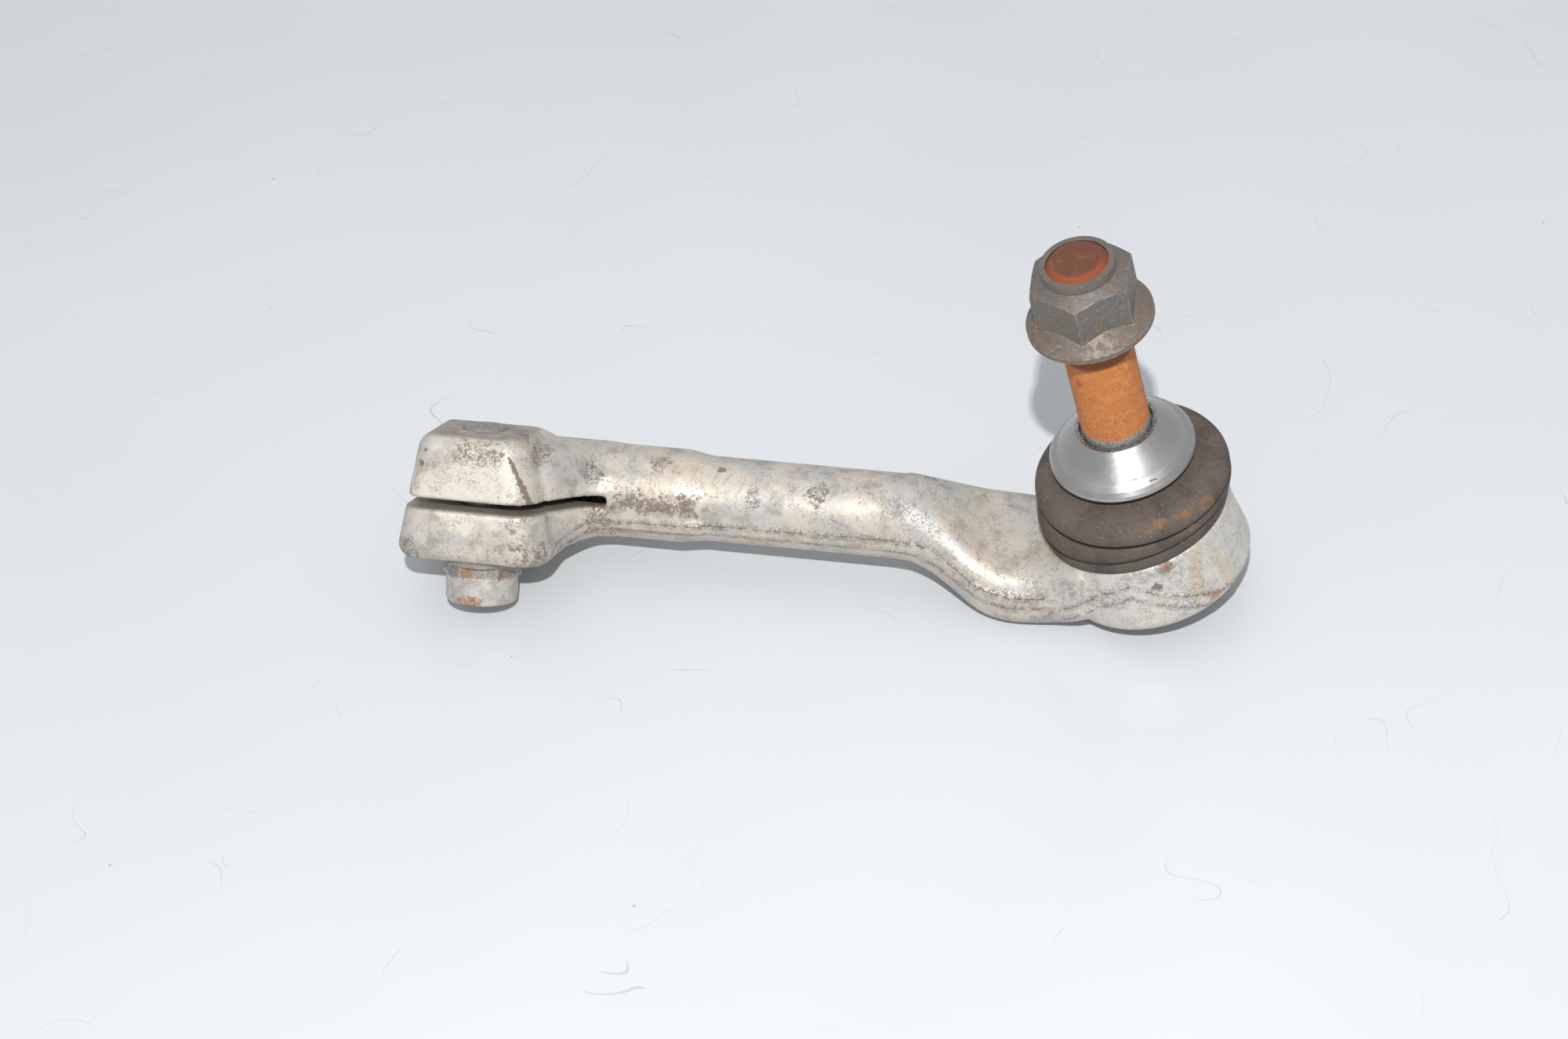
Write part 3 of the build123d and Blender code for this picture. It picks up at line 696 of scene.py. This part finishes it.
@dataclass(frozen=True)
class RustedSteel:
    """Bare steel stud under a coat of orange rust, cleaner at its foot, darker at its end, and dark
    red below the nut from darker rust and painted shade.
    """

    orange: Colour = (0.50, 0.170, 0.045)  # Main colour of the rust
    amber: Colour = (0.56, 0.25, 0.09)  # Its lighter colour
    red: Colour = (0.20, 0.055, 0.022)  # Its darker colour
    dark: Colour = (0.12, 0.04, 0.02)  # Colour of its specks
    end: Colour = (0.125, 0.045, 0.024)  # Stud's end face
    steel: Colour = (0.33, 0.32, 0.30)  # Bare steel
    rust_foot: float = 30.9  # Height along the stud where the rust ends
    rust_and_shade_top: float = 52.6  # Height above which the shank is dark red below the nut: darker rust and painted shade of the flange
    end_height: float = 78.2  # Height of the end face
    speck_heights: Span = (52.0, 34.0)  # Heights from which the specks grow denser, downwards
    fleck_height: float = 50.4  # Height of the bright flecks below the nut
    rim_radii: Span = (6.3, 7.1)  # Radii between which the end face's rim turns orange

    def face(self, p: Paint, across: Socket, along: Socket) -> Socket:
        """Mixes the colour of the end face.

        Args:
            p: The material in work.
            across: Distance from the stud's axis one way, in metres.
            along: Distance from it the other way, in metres.

        Returns:
            The colour.
        """
        far = p.maths("SQRT", p.maths("ADD", p.both(across, across), p.both(along, along)))
        face = p.lay(self.end, self.dark, p.span(p.noise(1.3, 5, 0.7, 0.8), 0.46, 0.60, 0.0, 0.9))
        face = p.lay(face, (0.20, 0.085, 0.050), p.span(p.noise(2.6, 5, 0.7), 0.52, 0.64, 0.0, 0.6))
        wavy = p.maths("MULTIPLY_ADD", p.noise(1.8, 4, 0.7), 2.4 * MM, far)
        rim = p.both(p.rise(wavy, *self.rim_radii), p.rise(along, 2.0, -2.5, 0.1, 0.85))
        return p.lay(face, (0.27, 0.060, 0.015), rim)

    def build(self) -> Material:
        """Builds the stud's material.

        Returns:
            The material.
        """
        p = Paint("rusted_stud_steel")
        across, along, height = p.local(AXES.stud())
        p.colour = self.orange
        p.coat(self.amber, p.span(p.noise(3.0, 5, 0.65, 0.5), 0.45, 0.68), 0.7)
        p.coat(self.red, p.span(p.noise(2.6, 5, 0.7, 0.7), 0.57, 0.72, 0.0, 0.6))
        specks = p.span(p.noise(0.38, 3, 0.72), 0.56, 0.64)
        p.coat(self.dark, specks, p.rise(height, *self.speck_heights, 0.45, 0.85))
        # Dark red band below the nut: darker rust and painted shade of the flange
        p.coat(self.red, p.rise(height, self.rust_and_shade_top - 0.8, self.rust_and_shade_top + 0.6), 0.9)
        flecks = p.near(height, self.fleck_height * MM, 1.6)
        p.coat((0.80, 0.30, 0.04), p.both(flecks, p.span(p.noise(1.0, 4, 0.7), 0.58, 0.64)), 0.85)
        at_end = p.rise(height, self.end_height - 2.6, self.end_height - 2.2)
        p.coat(self.face(p, across, along), at_end)
        foot = p.stray(height, p.noise(1.6, 5, 0.75), 4.5)
        clean = p.rise(foot, self.rust_foot + 0.15, self.rust_foot - 0.15)
        grey = p.span(p.noise(0.5, 4, 0.75), 0.50, 0.60, 0, 0.8)
        p.coat(p.lay(self.steel, (0.09, 0.075, 0.06), grey), clean)
        p.relief((p.noise(0.6, 6, 0.75), 0.11), (p.noise(2.6, 4, 0.6), 0.18))
        return p.finish(p.span(clean, 0, 1, 0.85, 0.5), p.both(clean, 0.3))


@dataclass(frozen=True)
class WornNutSteel:
    """Dark phosphated steel with brown dirt on its flange, pale worn edges and rust spots."""

    dark: Colour = (0.165, 0.155, 0.145)  # Clean faces
    brown: Colour = (0.20, 0.16, 0.125)  # Colour of thin dirt on them
    dirt: Colour = (0.155, 0.115, 0.085)  # Thick dirt on the flange
    pale: Colour = (0.62, 0.58, 0.53)  # Worn edges
    rust: Colour = (0.42, 0.13, 0.035)  # Rust spots
    flange_top: float = 65.8  # Height along the stud up to which the flange reaches
    collar_foot: float = 75.2  # Height where the round collar starts

    def build(self) -> Material:
        """Builds the nut's material.

        Returns:
            The material.
        """
        p = Paint("worn_phosphated_nut")
        height = p.local(AXES.stud())[2]
        p.colour = self.dark
        p.coat(self.brown, p.span(p.noise(5, 5, 0.62, 0.5), 0.42, 0.62))
        fine = p.noise(0.7, 6, 0.72)
        p.coat((0.62, 0.60, 0.58), p.span(fine, 0.4, 0.72, 0.0, 0.7), how=Mix.MULTIPLY)
        low = p.rise(height, self.flange_top + 0.8, self.flange_top - 1.2)
        dirt = p.both(low, p.span(p.noise(1.9, 5, 0.7, 0.4), 0.38, 0.56))
        p.coat(self.dirt, dirt, 0.9)
        below_collar = p.rise(height, self.collar_foot + 0.5, self.collar_foot - 0.5, 0.15, 1.0)
        worn = p.both(p.edges(0.5), p.span(p.noise(1.3, 5, 0.72), 0.44, 0.60), below_collar)
        p.coat(self.pale, worn, 0.85)
        scuffs = p.span(p.noise(1.1, 6, 0.75, 0.5), 0.56, 0.66)
        p.coat((0.38, 0.36, 0.335), scuffs, below_collar, 0.4)
        p.coat(self.rust, p.span(p.noise(2.3, 5, 0.74, 0.4), 0.655, 0.70), 0.8)
        p.relief((fine, 0.06), (p.noise(2.4, 4, 0.6), 0.14))
        rough = p.most(p.span(worn, 0, 1, 0.52, 0.36), p.both(dirt, 0.75))
        metal = p.both(p.span(worn, 0, 1, 0.45, 0.95), p.span(dirt, 0, 1, 1.0, 0.15))
        return p.finish(rough, metal)


@dataclass(frozen=True)
class TurnedSteel:
    """Bright steel ring with fine turning lines round the stud's axis."""

    base: Colour = (0.53, 0.52, 0.51)  # Mean colour of the steel
    shank_rim: float = 9.3  # Radius up to which grit lies round the shank
    nicks: tuple[tuple[Point, Point], ...] = (  # Start and end of each dark scratch
        ((0.3, -14.5, 23.6), (1.8, -14.1, 23.8)), ((4.8, -13.7, 23.2), (6.0, -13.0, 23.3)),
    )

    def build(self) -> Material:
        """Builds the ring's material.

        Returns:
            The material.
        """
        p = Paint("fine_turned_steel")
        x, y, height = p.local(AXES.stud())
        out = p.vector("LENGTH", p.join(x, y))
        rings = p.join(p.maths("ADD", out, height))
        p.shade(self.base, p.span(p.noise(1.3, 3, 0.6, 0.0, rings), 0.3, 0.7), 0.82, 1.1)
        p.coat((0.12, 0.10, 0.09), p.span(p.noise(0.5, 3, 0.7), 0.66, 0.72), 0.5)
        grit = p.span(p.noise(0.45, 3, 0.75), 0.47, 0.55)
        rim = p.both(p.rise(out, self.shank_rim + 0.3, self.shank_rim - 0.5), grit)
        nicks = p.most(*(p.streak(a, b, 0.22, 0.8, 0.7) for a, b in self.nicks))
        p.coat((0.10, 0.085, 0.07), p.most(p.both(rim, 0.75), p.both(nicks, 0.8)))
        p.relief((p.noise(0.14, 2, 0.6, 0.0, rings), 0.012), (p.noise(3, 3, 0.6), 0.02))
        return p.finish(p.span(p.noise(8, 4, 0.6), 0.35, 0.65, 0.30, 0.42), 1.0)


@dataclass(frozen=True)
class DustyRubber:
    """Matt black rubber under brown road dust, with rust washed onto it and painted shade in its
    folds.
    """

    rubber: Colour = (0.072, 0.058, 0.050)
    dust: Colour = (0.120, 0.094, 0.078)
    rust: Colour = (0.27, 0.125, 0.042)
    black: Colour = (0.012, 0.011, 0.010)  # Painted shade at the bottom of the folds
    # Start and end of the rust washed along the boot
    run: tuple[Point, Point] = ((5.5, -19.8, 14.6), (17.5, -11.2, 15.8))
    blot: Stain = Stain((14.5, -15.9, 12.3), 0.9, (0.7, 0.7, 1.0))  # The small rust blot

    def build(self) -> Material:
        """Builds the boot's material.

        Returns:
            The material.
        """
        p = Paint("dusty_boot_rubber")
        p.colour = self.rubber
        p.coat(self.dust, p.span(p.noise(9, 5, 0.6, 0.4), 0.32, 0.60))
        fine = p.noise(0.7, 6, 0.7)
        p.coat((0.62, 0.60, 0.58), p.span(fine, 0.35, 0.7, 0.0, 0.55), how=Mix.MULTIPLY)
        p.coat((0.38, 0.34, 0.30), p.span(p.cells(1.7), 0.095, 0.055), 0.8)
        # Painted shade: near black on the marked corners at the bottom of the folds
        p.coat(self.black, p.node("Attribute", attribute_name="fold_shade").outputs["Fac"], 0.95)
        smear = p.most(p.streak(*self.run, 1.5, 1.1, 2.2), self.blot.mask(p, 0.7, 1.4))
        p.coat(self.rust, smear, p.span(p.noise(1.1, 5, 0.75), 0.42, 0.58), 0.75)
        p.relief((fine, 0.05), (p.noise(4, 3, 0.5), 0.08))
        return p.finish(p.span(fine, 0.3, 0.7, 0.62, 0.85), 0.0, 0.35)


@dataclass(frozen=True)
class ZincSteel:
    """Dull grey zinc plate with a few orange rust spots, darker towards the jaw from dirt and
    painted shade.
    """

    zinc: Colour = (0.46, 0.43, 0.39)
    chalk: Colour = (0.62, 0.59, 0.545)  # Colour where it has turned chalky
    rust: Colour = (0.27, 0.095, 0.014)  # Rust spots
    drum_top: float = -25.1  # Height along the bolt above which the head is darkened: dirt, with painted shade under the jaw
    spots: Stains = (
        Stain((-152.3, -32.2, -8.0), 1.6), Stain((-144.5, -30.3, -10.0), 1.2),
        Stain((-151.5, -35.9, -14.3), 1.7, (0.5, 1, 1)),
    )

    def build(self) -> Material:
        """Builds the pinch bolt's material.

        Returns:
            The material.
        """
        p = Paint("dull_zinc_bolt")
        p.colour = self.zinc
        p.coat(self.chalk, p.span(p.noise(2.8, 5, 0.65), 0.4, 0.62))
        fine = p.noise(0.6, 5, 0.7)
        p.coat((0.55, 0.55, 0.55), p.span(fine, 0.5, 0.75, 0.0, 0.6), how=Mix.MULTIPLY)
        scattered = p.span(p.noise(3.4, 5, 0.7, 0.3), 0.645, 0.70)
        patchy = p.span(p.noise(0.8, 5, 0.75), 0.40, 0.54)
        spots = p.most(scattered, *(p.both(spot.mask(p, 1.2, 1.3), patchy) for spot in self.spots))
        height = p.local(AXES.clamp().col[2])[2]
        dirt_and_shade_above_drum = p.rise(height, self.drum_top, self.drum_top + 0.3)
        # Darker from the drum up to the jaw: dirt, with painted shade under the jaw
        p.coat((0.15, 0.13, 0.11), dirt_and_shade_above_drum, p.span(fine, 0.3, 0.6, 0.25, 0.7))
        p.coat(self.rust, spots, 0.9)
        p.relief((fine, 0.04))
        return p.finish(p.span(fine, 0.3, 0.7, 0.42, 0.6), p.span(spots, 0.0, 1.0, 0.6, 0.0))


@dataclass(frozen=True)
class PlainWear:
    """Finish of a small piece: one base colour with clouds, fine grain and dirt."""

    name: str  # Name of the material
    base: Colour  # Its colour
    roughness: float  # Mean roughness
    metallic: float  # Share of metal

    def build(self) -> Material:
        """Builds the material.

        Returns:
            The material.
        """
        p = Paint(self.name)
        p.shade(self.base, p.span(p.noise(3.5, 5, 0.65), 0.35, 0.65), 0.72, 1.12)
        fine = p.noise(0.6, 5, 0.7)
        p.coat((0.5, 0.45, 0.4), p.span(fine, 0.55, 0.75, 0, 0.6), how=Mix.MULTIPLY)
        p.relief((fine, 0.03))
        rough = p.span(fine, 0.3, 0.7, self.roughness - 0.06, self.roughness + 0.08)
        return p.finish(rough, self.metallic)


@dataclass(frozen=True)
class PaleTable:
    """Pale glossy table top with faint clouds, hair-thin scratches and dots."""

    base: Colour = (0.61, 0.632, 0.652)  # Its colour
    marks: Colour = (0.36, 0.38, 0.40)  # Scratches and dots
    roughness: float = 0.16

    def build(self) -> Material:
        """Builds the table's material.

        Returns:
            The material.
        """
        p = Paint("pale_glossy_table")
        p.shade(self.base, p.span(p.noise(160, 3, 0.5), 0.3, 0.7), 0.98, 1.02)
        lines = p.both(p.contour(34.0, 0.0016, 1.0, 0.4), p.span(p.noise(26, 2, 0.5), 0.58, 0.62))
        dots = p.span(p.cells(24.0), 0.022, 0.012)
        p.coat(self.marks, p.most(p.both(lines, 0.5), p.both(dots, 0.8)))
        return p.finish(self.roughness, 0.0, 0.35)


@dataclass
class Forging:
    """The one-piece arm: split clamp, round rod, bent neck and ball socket."""

    facet: float = 0.6  # Size of the softened facets
    rounds: int = 3  # Smoothing rounds
    pitch: float = 1.5  # Pitch of the rod thread
    # Radius at which the thread's flanks start, just inside the solid's wall
    root_radius: float = 7.31
    crest_radius: float = 6.85  # Inner radius of the thread's crests
    root_half: float = 0.36  # Half of the ridge's width at its root
    crest_half: float = 0.10  # Half of its width at its crest
    thread_around: int = 48  # Number of facets round the thread
    thread_span: Span = (-164.0, -107.0)  # Start and end of the thread along X
    slot_end: float = -122.9  # X where the slot ends
    slot_reach: float = 1.5  # Half of the slot's height
    slot_drop: float = 0.6  # How far the slot's middle lies below the bore's
    bolt_place: float = -151.0  # X of the bolt's hole
    bolt_reach: float = 5.3  # Half of the width that the hole takes from the thread
    finish: ForgedAluminium = ForgedAluminium()
    bright: PlainWear = PlainWear("cut_thread_aluminium", (0.42, 0.40, 0.37), 0.4, 0.7)

    def around_bore(self, x: float, radius: float, turn: float) -> Vector:
        """Returns the point at an angle round the bore's axis."""
        _, y, z = BORE_CENTRE
        return Vector((x, y + radius * math.cos(turn), z + radius * math.sin(turn)))

    def is_cut(self, point: Vector) -> bool:
        """Tells whether the slot or the bolt's hole cuts the thread at a point.

        Args:
            point: The point.

        Returns:
            True where it is cut away.
        """
        across = AXES.clamp().transposed() @ (point - Vector((point.x, *BORE_CENTRE[1:])))
        at_slot = point.x < self.slot_end and abs(across.z + self.slot_drop) < self.slot_reach
        return across.y < 0 and (at_slot or abs(point.x - self.bolt_place) < self.bolt_reach)

    def thread(self) -> Piece:
        """Makes the helical ridge of the rod thread inside the bore.

        Returns:
            The ridge.
        """
        start, end = self.thread_span
        root, crest = (self.root_half, self.root_radius), (self.crest_half, self.crest_radius)
        section = ((-root[0], root[1]), (-crest[0], crest[1]), crest, root)
        rings = []
        for step in range(int((end - start) / self.pitch * self.thread_around) + 1):
            turn = 2 * math.pi * step / self.thread_around
            x = start + step / self.thread_around * self.pitch
            rings.append([self.around_bore(x + dx, radius, turn) for dx, radius in section])
        points = [point for ring in rings for point in ring]
        faces = [face for face in swept_rings(rings, False) if not self.is_cut(points[face[0]])]
        return mesh_piece("rod_thread_crest", points, faces)

    def soften(self, piece: Piece) -> None:
        """Rounds the forging's edges as the die leaves them.

        Args:
            piece: The forging.
        """
        remesh = piece.modifiers.new("even_facets", "REMESH")
        remesh.mode = "VOXEL"
        remesh.voxel_size = self.facet * MM
        remesh.use_smooth_shade = True
        smooth = piece.modifiers.new("soft_edges", "SMOOTH")
        smooth.factor = 0.5
        smooth.iterations = self.rounds

    def build(self) -> list[Piece]:
        """Softens and dresses the forging, and cuts its thread.

        Returns:
            The forging and its thread.
        """
        body = dress(node("forged_body"), self.finish.build())
        self.soften(body)
        bright = self.bright.build()
        thread = dress(self.thread(), bright)
        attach(thread, Body.ARM.value)
        return [body, thread]


@dataclass
class Boot:
    """Rubber boot with a foot, two folds and a lip under the cone ring."""

    wall: float = 1.5  # Thickness of the rubber
    lip_points: int = 4  # Number of the outline's last points, which have no inside of their own
    around: int = 128  # Number of facets round the boot
    groove_height: float = 4.9  # Height where the boot starts to bend towards the stud
    crown_height: float = 16.7  # Height where it has reached the stud's axis
    top_height: float = 19.9  # Height of the lip's top
    shift: float = 1.2  # Sideways bulge of the boot between the two axes
    lip_radius: float = 12.2  # Outer radius of the lip
    throat_depth: float = 2.4  # Length of the straight hole inside the lip
    foot_bore: float = 19.05  # Least radius of the hole inside the foot
    foot_top: float = 7.2  # Height up to which that hole reaches
    blend_rise: float = 0.5  # How far above the crown the bending ends
    outline: Pairs = (  # Pairs of a radius and a height, up the outside
        (21.3, 1.45), (21.6, 1.8), (21.8, 3.0), (21.9, 4.1), (21.7, 4.45), (20.4, 4.6),
        (20.4, 5.1), (21.8, 5.3), (22.2, 5.9), (22.45, 6.9), (22.5, 8.0), (22.4, 9.1),
        (22.15, 10.0), (21.95, 10.4), (21.5, 10.55), (19.9, 10.7), (19.9, 11.25), (21.5, 11.4),
        (21.95, 11.55), (22.1, 11.85), (22.2, 12.5), (22.15, 13.3), (21.8, 14.2), (21.1, 15.0),
        (20.2, 15.7), (19.0, 16.25), (17.4, 16.75), (15.8, 17.2), (14.2, 17.7), (12.9, 18.2),
        (12.3, 18.5), (12.2, 19.2), (12.2, 19.9),
    )
    deep: Pairs = (  # The pairs of the outline that lie in its grooves, which get painted shade
        (20.4, 4.6), (20.4, 5.1), (21.5, 10.55), (19.9, 10.7), (19.9, 11.25), (21.5, 11.4),
    )
    # Finish of the two wire rings
    wire: PlainWear = PlainWear("dark_spring_wire", (0.035, 0.031, 0.028), 0.7, 0.3)

    def frame(self, height: float) -> tuple[Vector, Vector, Vector]:
        """Places the boot's cross section at a height.

        Args:
            height: Height along the boot.

        Returns:
            Its centre and its two axes.
        """
        span = self.crown_height - self.groove_height
        share = min(1.0, max(0.0, (height - self.groove_height) / span))
        blend = math.sin(share * math.pi / 2)
        axis = (AXES.socket() * (1 - blend) + AXES.stud() * blend).normalized()
        centre = axis * height + Vector((self.shift * math.sin(share * math.pi), 0, 0))
        side = (Vector((1, 0, 0)) - axis * axis.x).normalized()
        return centre, side, axis.cross(side)

    def ring(self, radius: float, height: float) -> list[Vector]:
        """Makes one ring of points round the boot.

        Args:
            radius: Its radius.
            height: Its height along the boot.

        Returns:
            The points.
        """
        centre, side, across = self.frame(height)
        turns = [2 * math.pi * k / self.around for k in range(self.around)]
        return [centre + side * (radius * math.cos(turn)) + across * (radius * math.sin(turn))
                for turn in turns]

    def skin(self) -> Piece:
        """Makes the boot's closed skin, up the outside and down the inside.

        Returns:
            The skin.
        """
        rings = [self.ring(radius, height) for radius, height in self.outline]
        throat = self.lip_radius - self.wall
        rings += [self.ring(throat, self.top_height - depth) for depth in (0.0, self.throat_depth)]
        for radius, height in reversed(self.outline[:-self.lip_points]):
            keep = min(height, self.crown_height - self.wall)
            least = self.foot_bore if keep < self.foot_top else 0.0
            rings.append(self.ring(max(radius - self.wall, least), keep))
        points = [point for ring in rings for point in ring]
        return mesh_piece("boot_skin", points, swept_rings(rings, True))

    def folds(self, skin: Piece) -> None:
        """Marks the corners at the bottom of the outer folds, where black is painted as shade.

        Args:
            skin: The boot's skin.
        """
        rings = [point for radius, height in self.deep for point in self.ring(radius, height)]
        near = {tuple(round(value, 2) for value in point) for point in rings}
        mark = skin.data.attributes.new("fold_shade", "FLOAT", "POINT")
        for corner in skin.data.vertices:
            place = tuple(round(value / MM, 2) for value in corner.co)
            mark.data[corner.index].value = float(place in near)

    def build(self) -> list[Piece]:
        """Builds the skin, bent from the socket's axis towards the stud's, and dresses the boot's
        pieces.

        Returns:
            The skin, the solid that it replaces and the two rings.
        """
        material = DustyRubber().build()
        skin = self.skin()
        self.folds(skin)
        dress(skin, material)
        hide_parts("dust_boot")
        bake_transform(skin)
        wire = self.wire.build()
        rings = [dress(node(name), wire) for name in ("boot_lower_ring", "boot_upper_ring")]
        return [skin, dress(node("dust_boot"), material), *rings]


@dataclass
class BallJoint:
    """The socket's seat and plate, the ball stud, its cone ring and its nut."""

    # Finish of the plastic seat
    seat: PlainWear = PlainWear("seat_plastic", (0.66, 0.64, 0.58), 0.45, 0.0)
    # Finish of the closing plate
    plate: PlainWear = PlainWear("pressed_plate_steel", (0.36, 0.345, 0.32), 0.42, 0.85)

    def build(self) -> list[Piece]:
        """Dresses the joint's pieces.

        Returns:
            The pieces.
        """
        finishes = {
            "ball_stud": RustedSteel(), "flange_nut": WornNutSteel(), "cone_ring": TurnedSteel(),
            "ball_seat": self.seat, "closing_plate": self.plate,
        }
        return [dress(node(name), finish.build()) for name, finish in finishes.items()]


@dataclass
class PinchBolt:
    """The bolt that draws the clamp's jaws together on the rod's thread."""

    finish: ZincSteel = ZincSteel()

    def build(self) -> list[Piece]:
        """Dresses the bolt and returns it."""
        return [dress(node("pinch_bolt"), self.finish.build())]


@dataclass(frozen=True)
class Lamp:
    """A square white lamp."""

    name: str
    place: Point
    size: float  # Length of its side
    power: float  # Its power in watts

    def light(self, target: Point) -> None:
        """Hangs the lamp so that it faces a point.

        Args:
            target: The point.
        """
        data = bpy.data.lights.new(self.name, "AREA")
        data.size = self.size * MM
        data.energy = self.power
        lamp = bpy.data.objects.new(self.name, data)
        bpy.context.scene.collection.objects.link(lamp)
        aim = (Vector(target) - Vector(self.place)).normalized()
        look = aim.to_track_quat("-Z", "Y").to_matrix().to_4x4()
        lamp.matrix_world = Matrix.Translation(Vector(self.place) * MM) @ look


@dataclass
class Studio:
    """Glossy pale table, lamps, even room light and the camera."""

    table_height: float = -23.4  # Height of the table, under the socket
    table_half: float = 2500.0  # Half of the length of its side
    camera_place: Point = (81.5, -559.8, 548.3)  # Camera's place
    camera_target: Point = (-86.9, 10.2, -23.4)  # Point at the picture's centre
    roll: float = 6.2  # Turn of the camera about its view in degrees
    lens: float = 78.86  # Focal length
    sensor: float = 36.0  # Width of the sensor
    lit: Point = (-60, 0, 0)  # Point that the lamps face
    lamps: tuple[Lamp, ...] = (
        Lamp("flash", (88, -614, 837), 20, 10.0), Lamp("soft_top", (-150, 250, 900), 500, 0.5),
    )
    room_colour: Colour = (0.965, 0.98, 1.0)  # Room's light
    room_strength: float = 0.60  # Its strength

    def camera(self) -> None:
        """Makes the camera at the photograph's viewing angle."""
        place = Vector(self.camera_place) * MM
        forward = (Vector(self.camera_target) * MM - place).normalized()
        right = forward.cross(Vector((0, 0, 1))).normalized()
        up = right.cross(forward)
        turn = math.radians(self.roll)
        side = right * math.cos(turn) - up * math.sin(turn)
        top = right * math.sin(turn) + up * math.cos(turn)
        data = bpy.data.cameras.new("camera")
        data.lens = self.lens
        data.sensor_width = self.sensor
        camera = bpy.data.objects.new("camera", data)
        bpy.context.scene.collection.objects.link(camera)
        look = Matrix((side, top, -forward)).transposed().to_4x4()
        camera.matrix_world = Matrix.Translation(place) @ look
        bpy.context.scene.camera = camera

    def table(self) -> Piece:
        """Makes the table top.

        Returns:
            The table top.
        """
        turns = ((-1, -1), (1, -1), (1, 1), (-1, 1))
        half, z = self.table_half, self.table_height
        corners = [Vector((x * half, y * half, z)) for x, y in turns]
        table = mesh_piece("table_top", corners, [[0, 1, 2, 3]], False)
        return dress(table, PaleTable().build())

    def room(self) -> None:
        """Fills the room with even pale light."""
        world = bpy.data.worlds.new("studio")
        bpy.context.scene.world = world
        world.use_nodes = True
        light = world.node_tree.nodes["Background"]
        light.inputs["Color"].default_value = (*self.room_colour, 1)
        light.inputs["Strength"].default_value = self.room_strength

    def build(self) -> list[Piece]:
        """Builds the whole studio.

        Returns:
            The table top.
        """
        self.camera()
        table = self.table()
        self.room()
        for lamp in self.lamps:
            lamp.light(self.lit)
        bpy.context.scene.view_settings.view_transform = "Standard"
        return [table]


def main() -> None:
    """Builds every sub-assembly in order."""
    logging.basicConfig(level=logging.INFO, format="%(name)s: %(message)s")
    for part in (Studio(), Forging(), BallJoint(), Boot(), PinchBolt()):
        for piece in part.build():
            log.info("%s: %s built and dressed", type(part).__name__, piece.name)


if __name__ == "__main__":
    main()
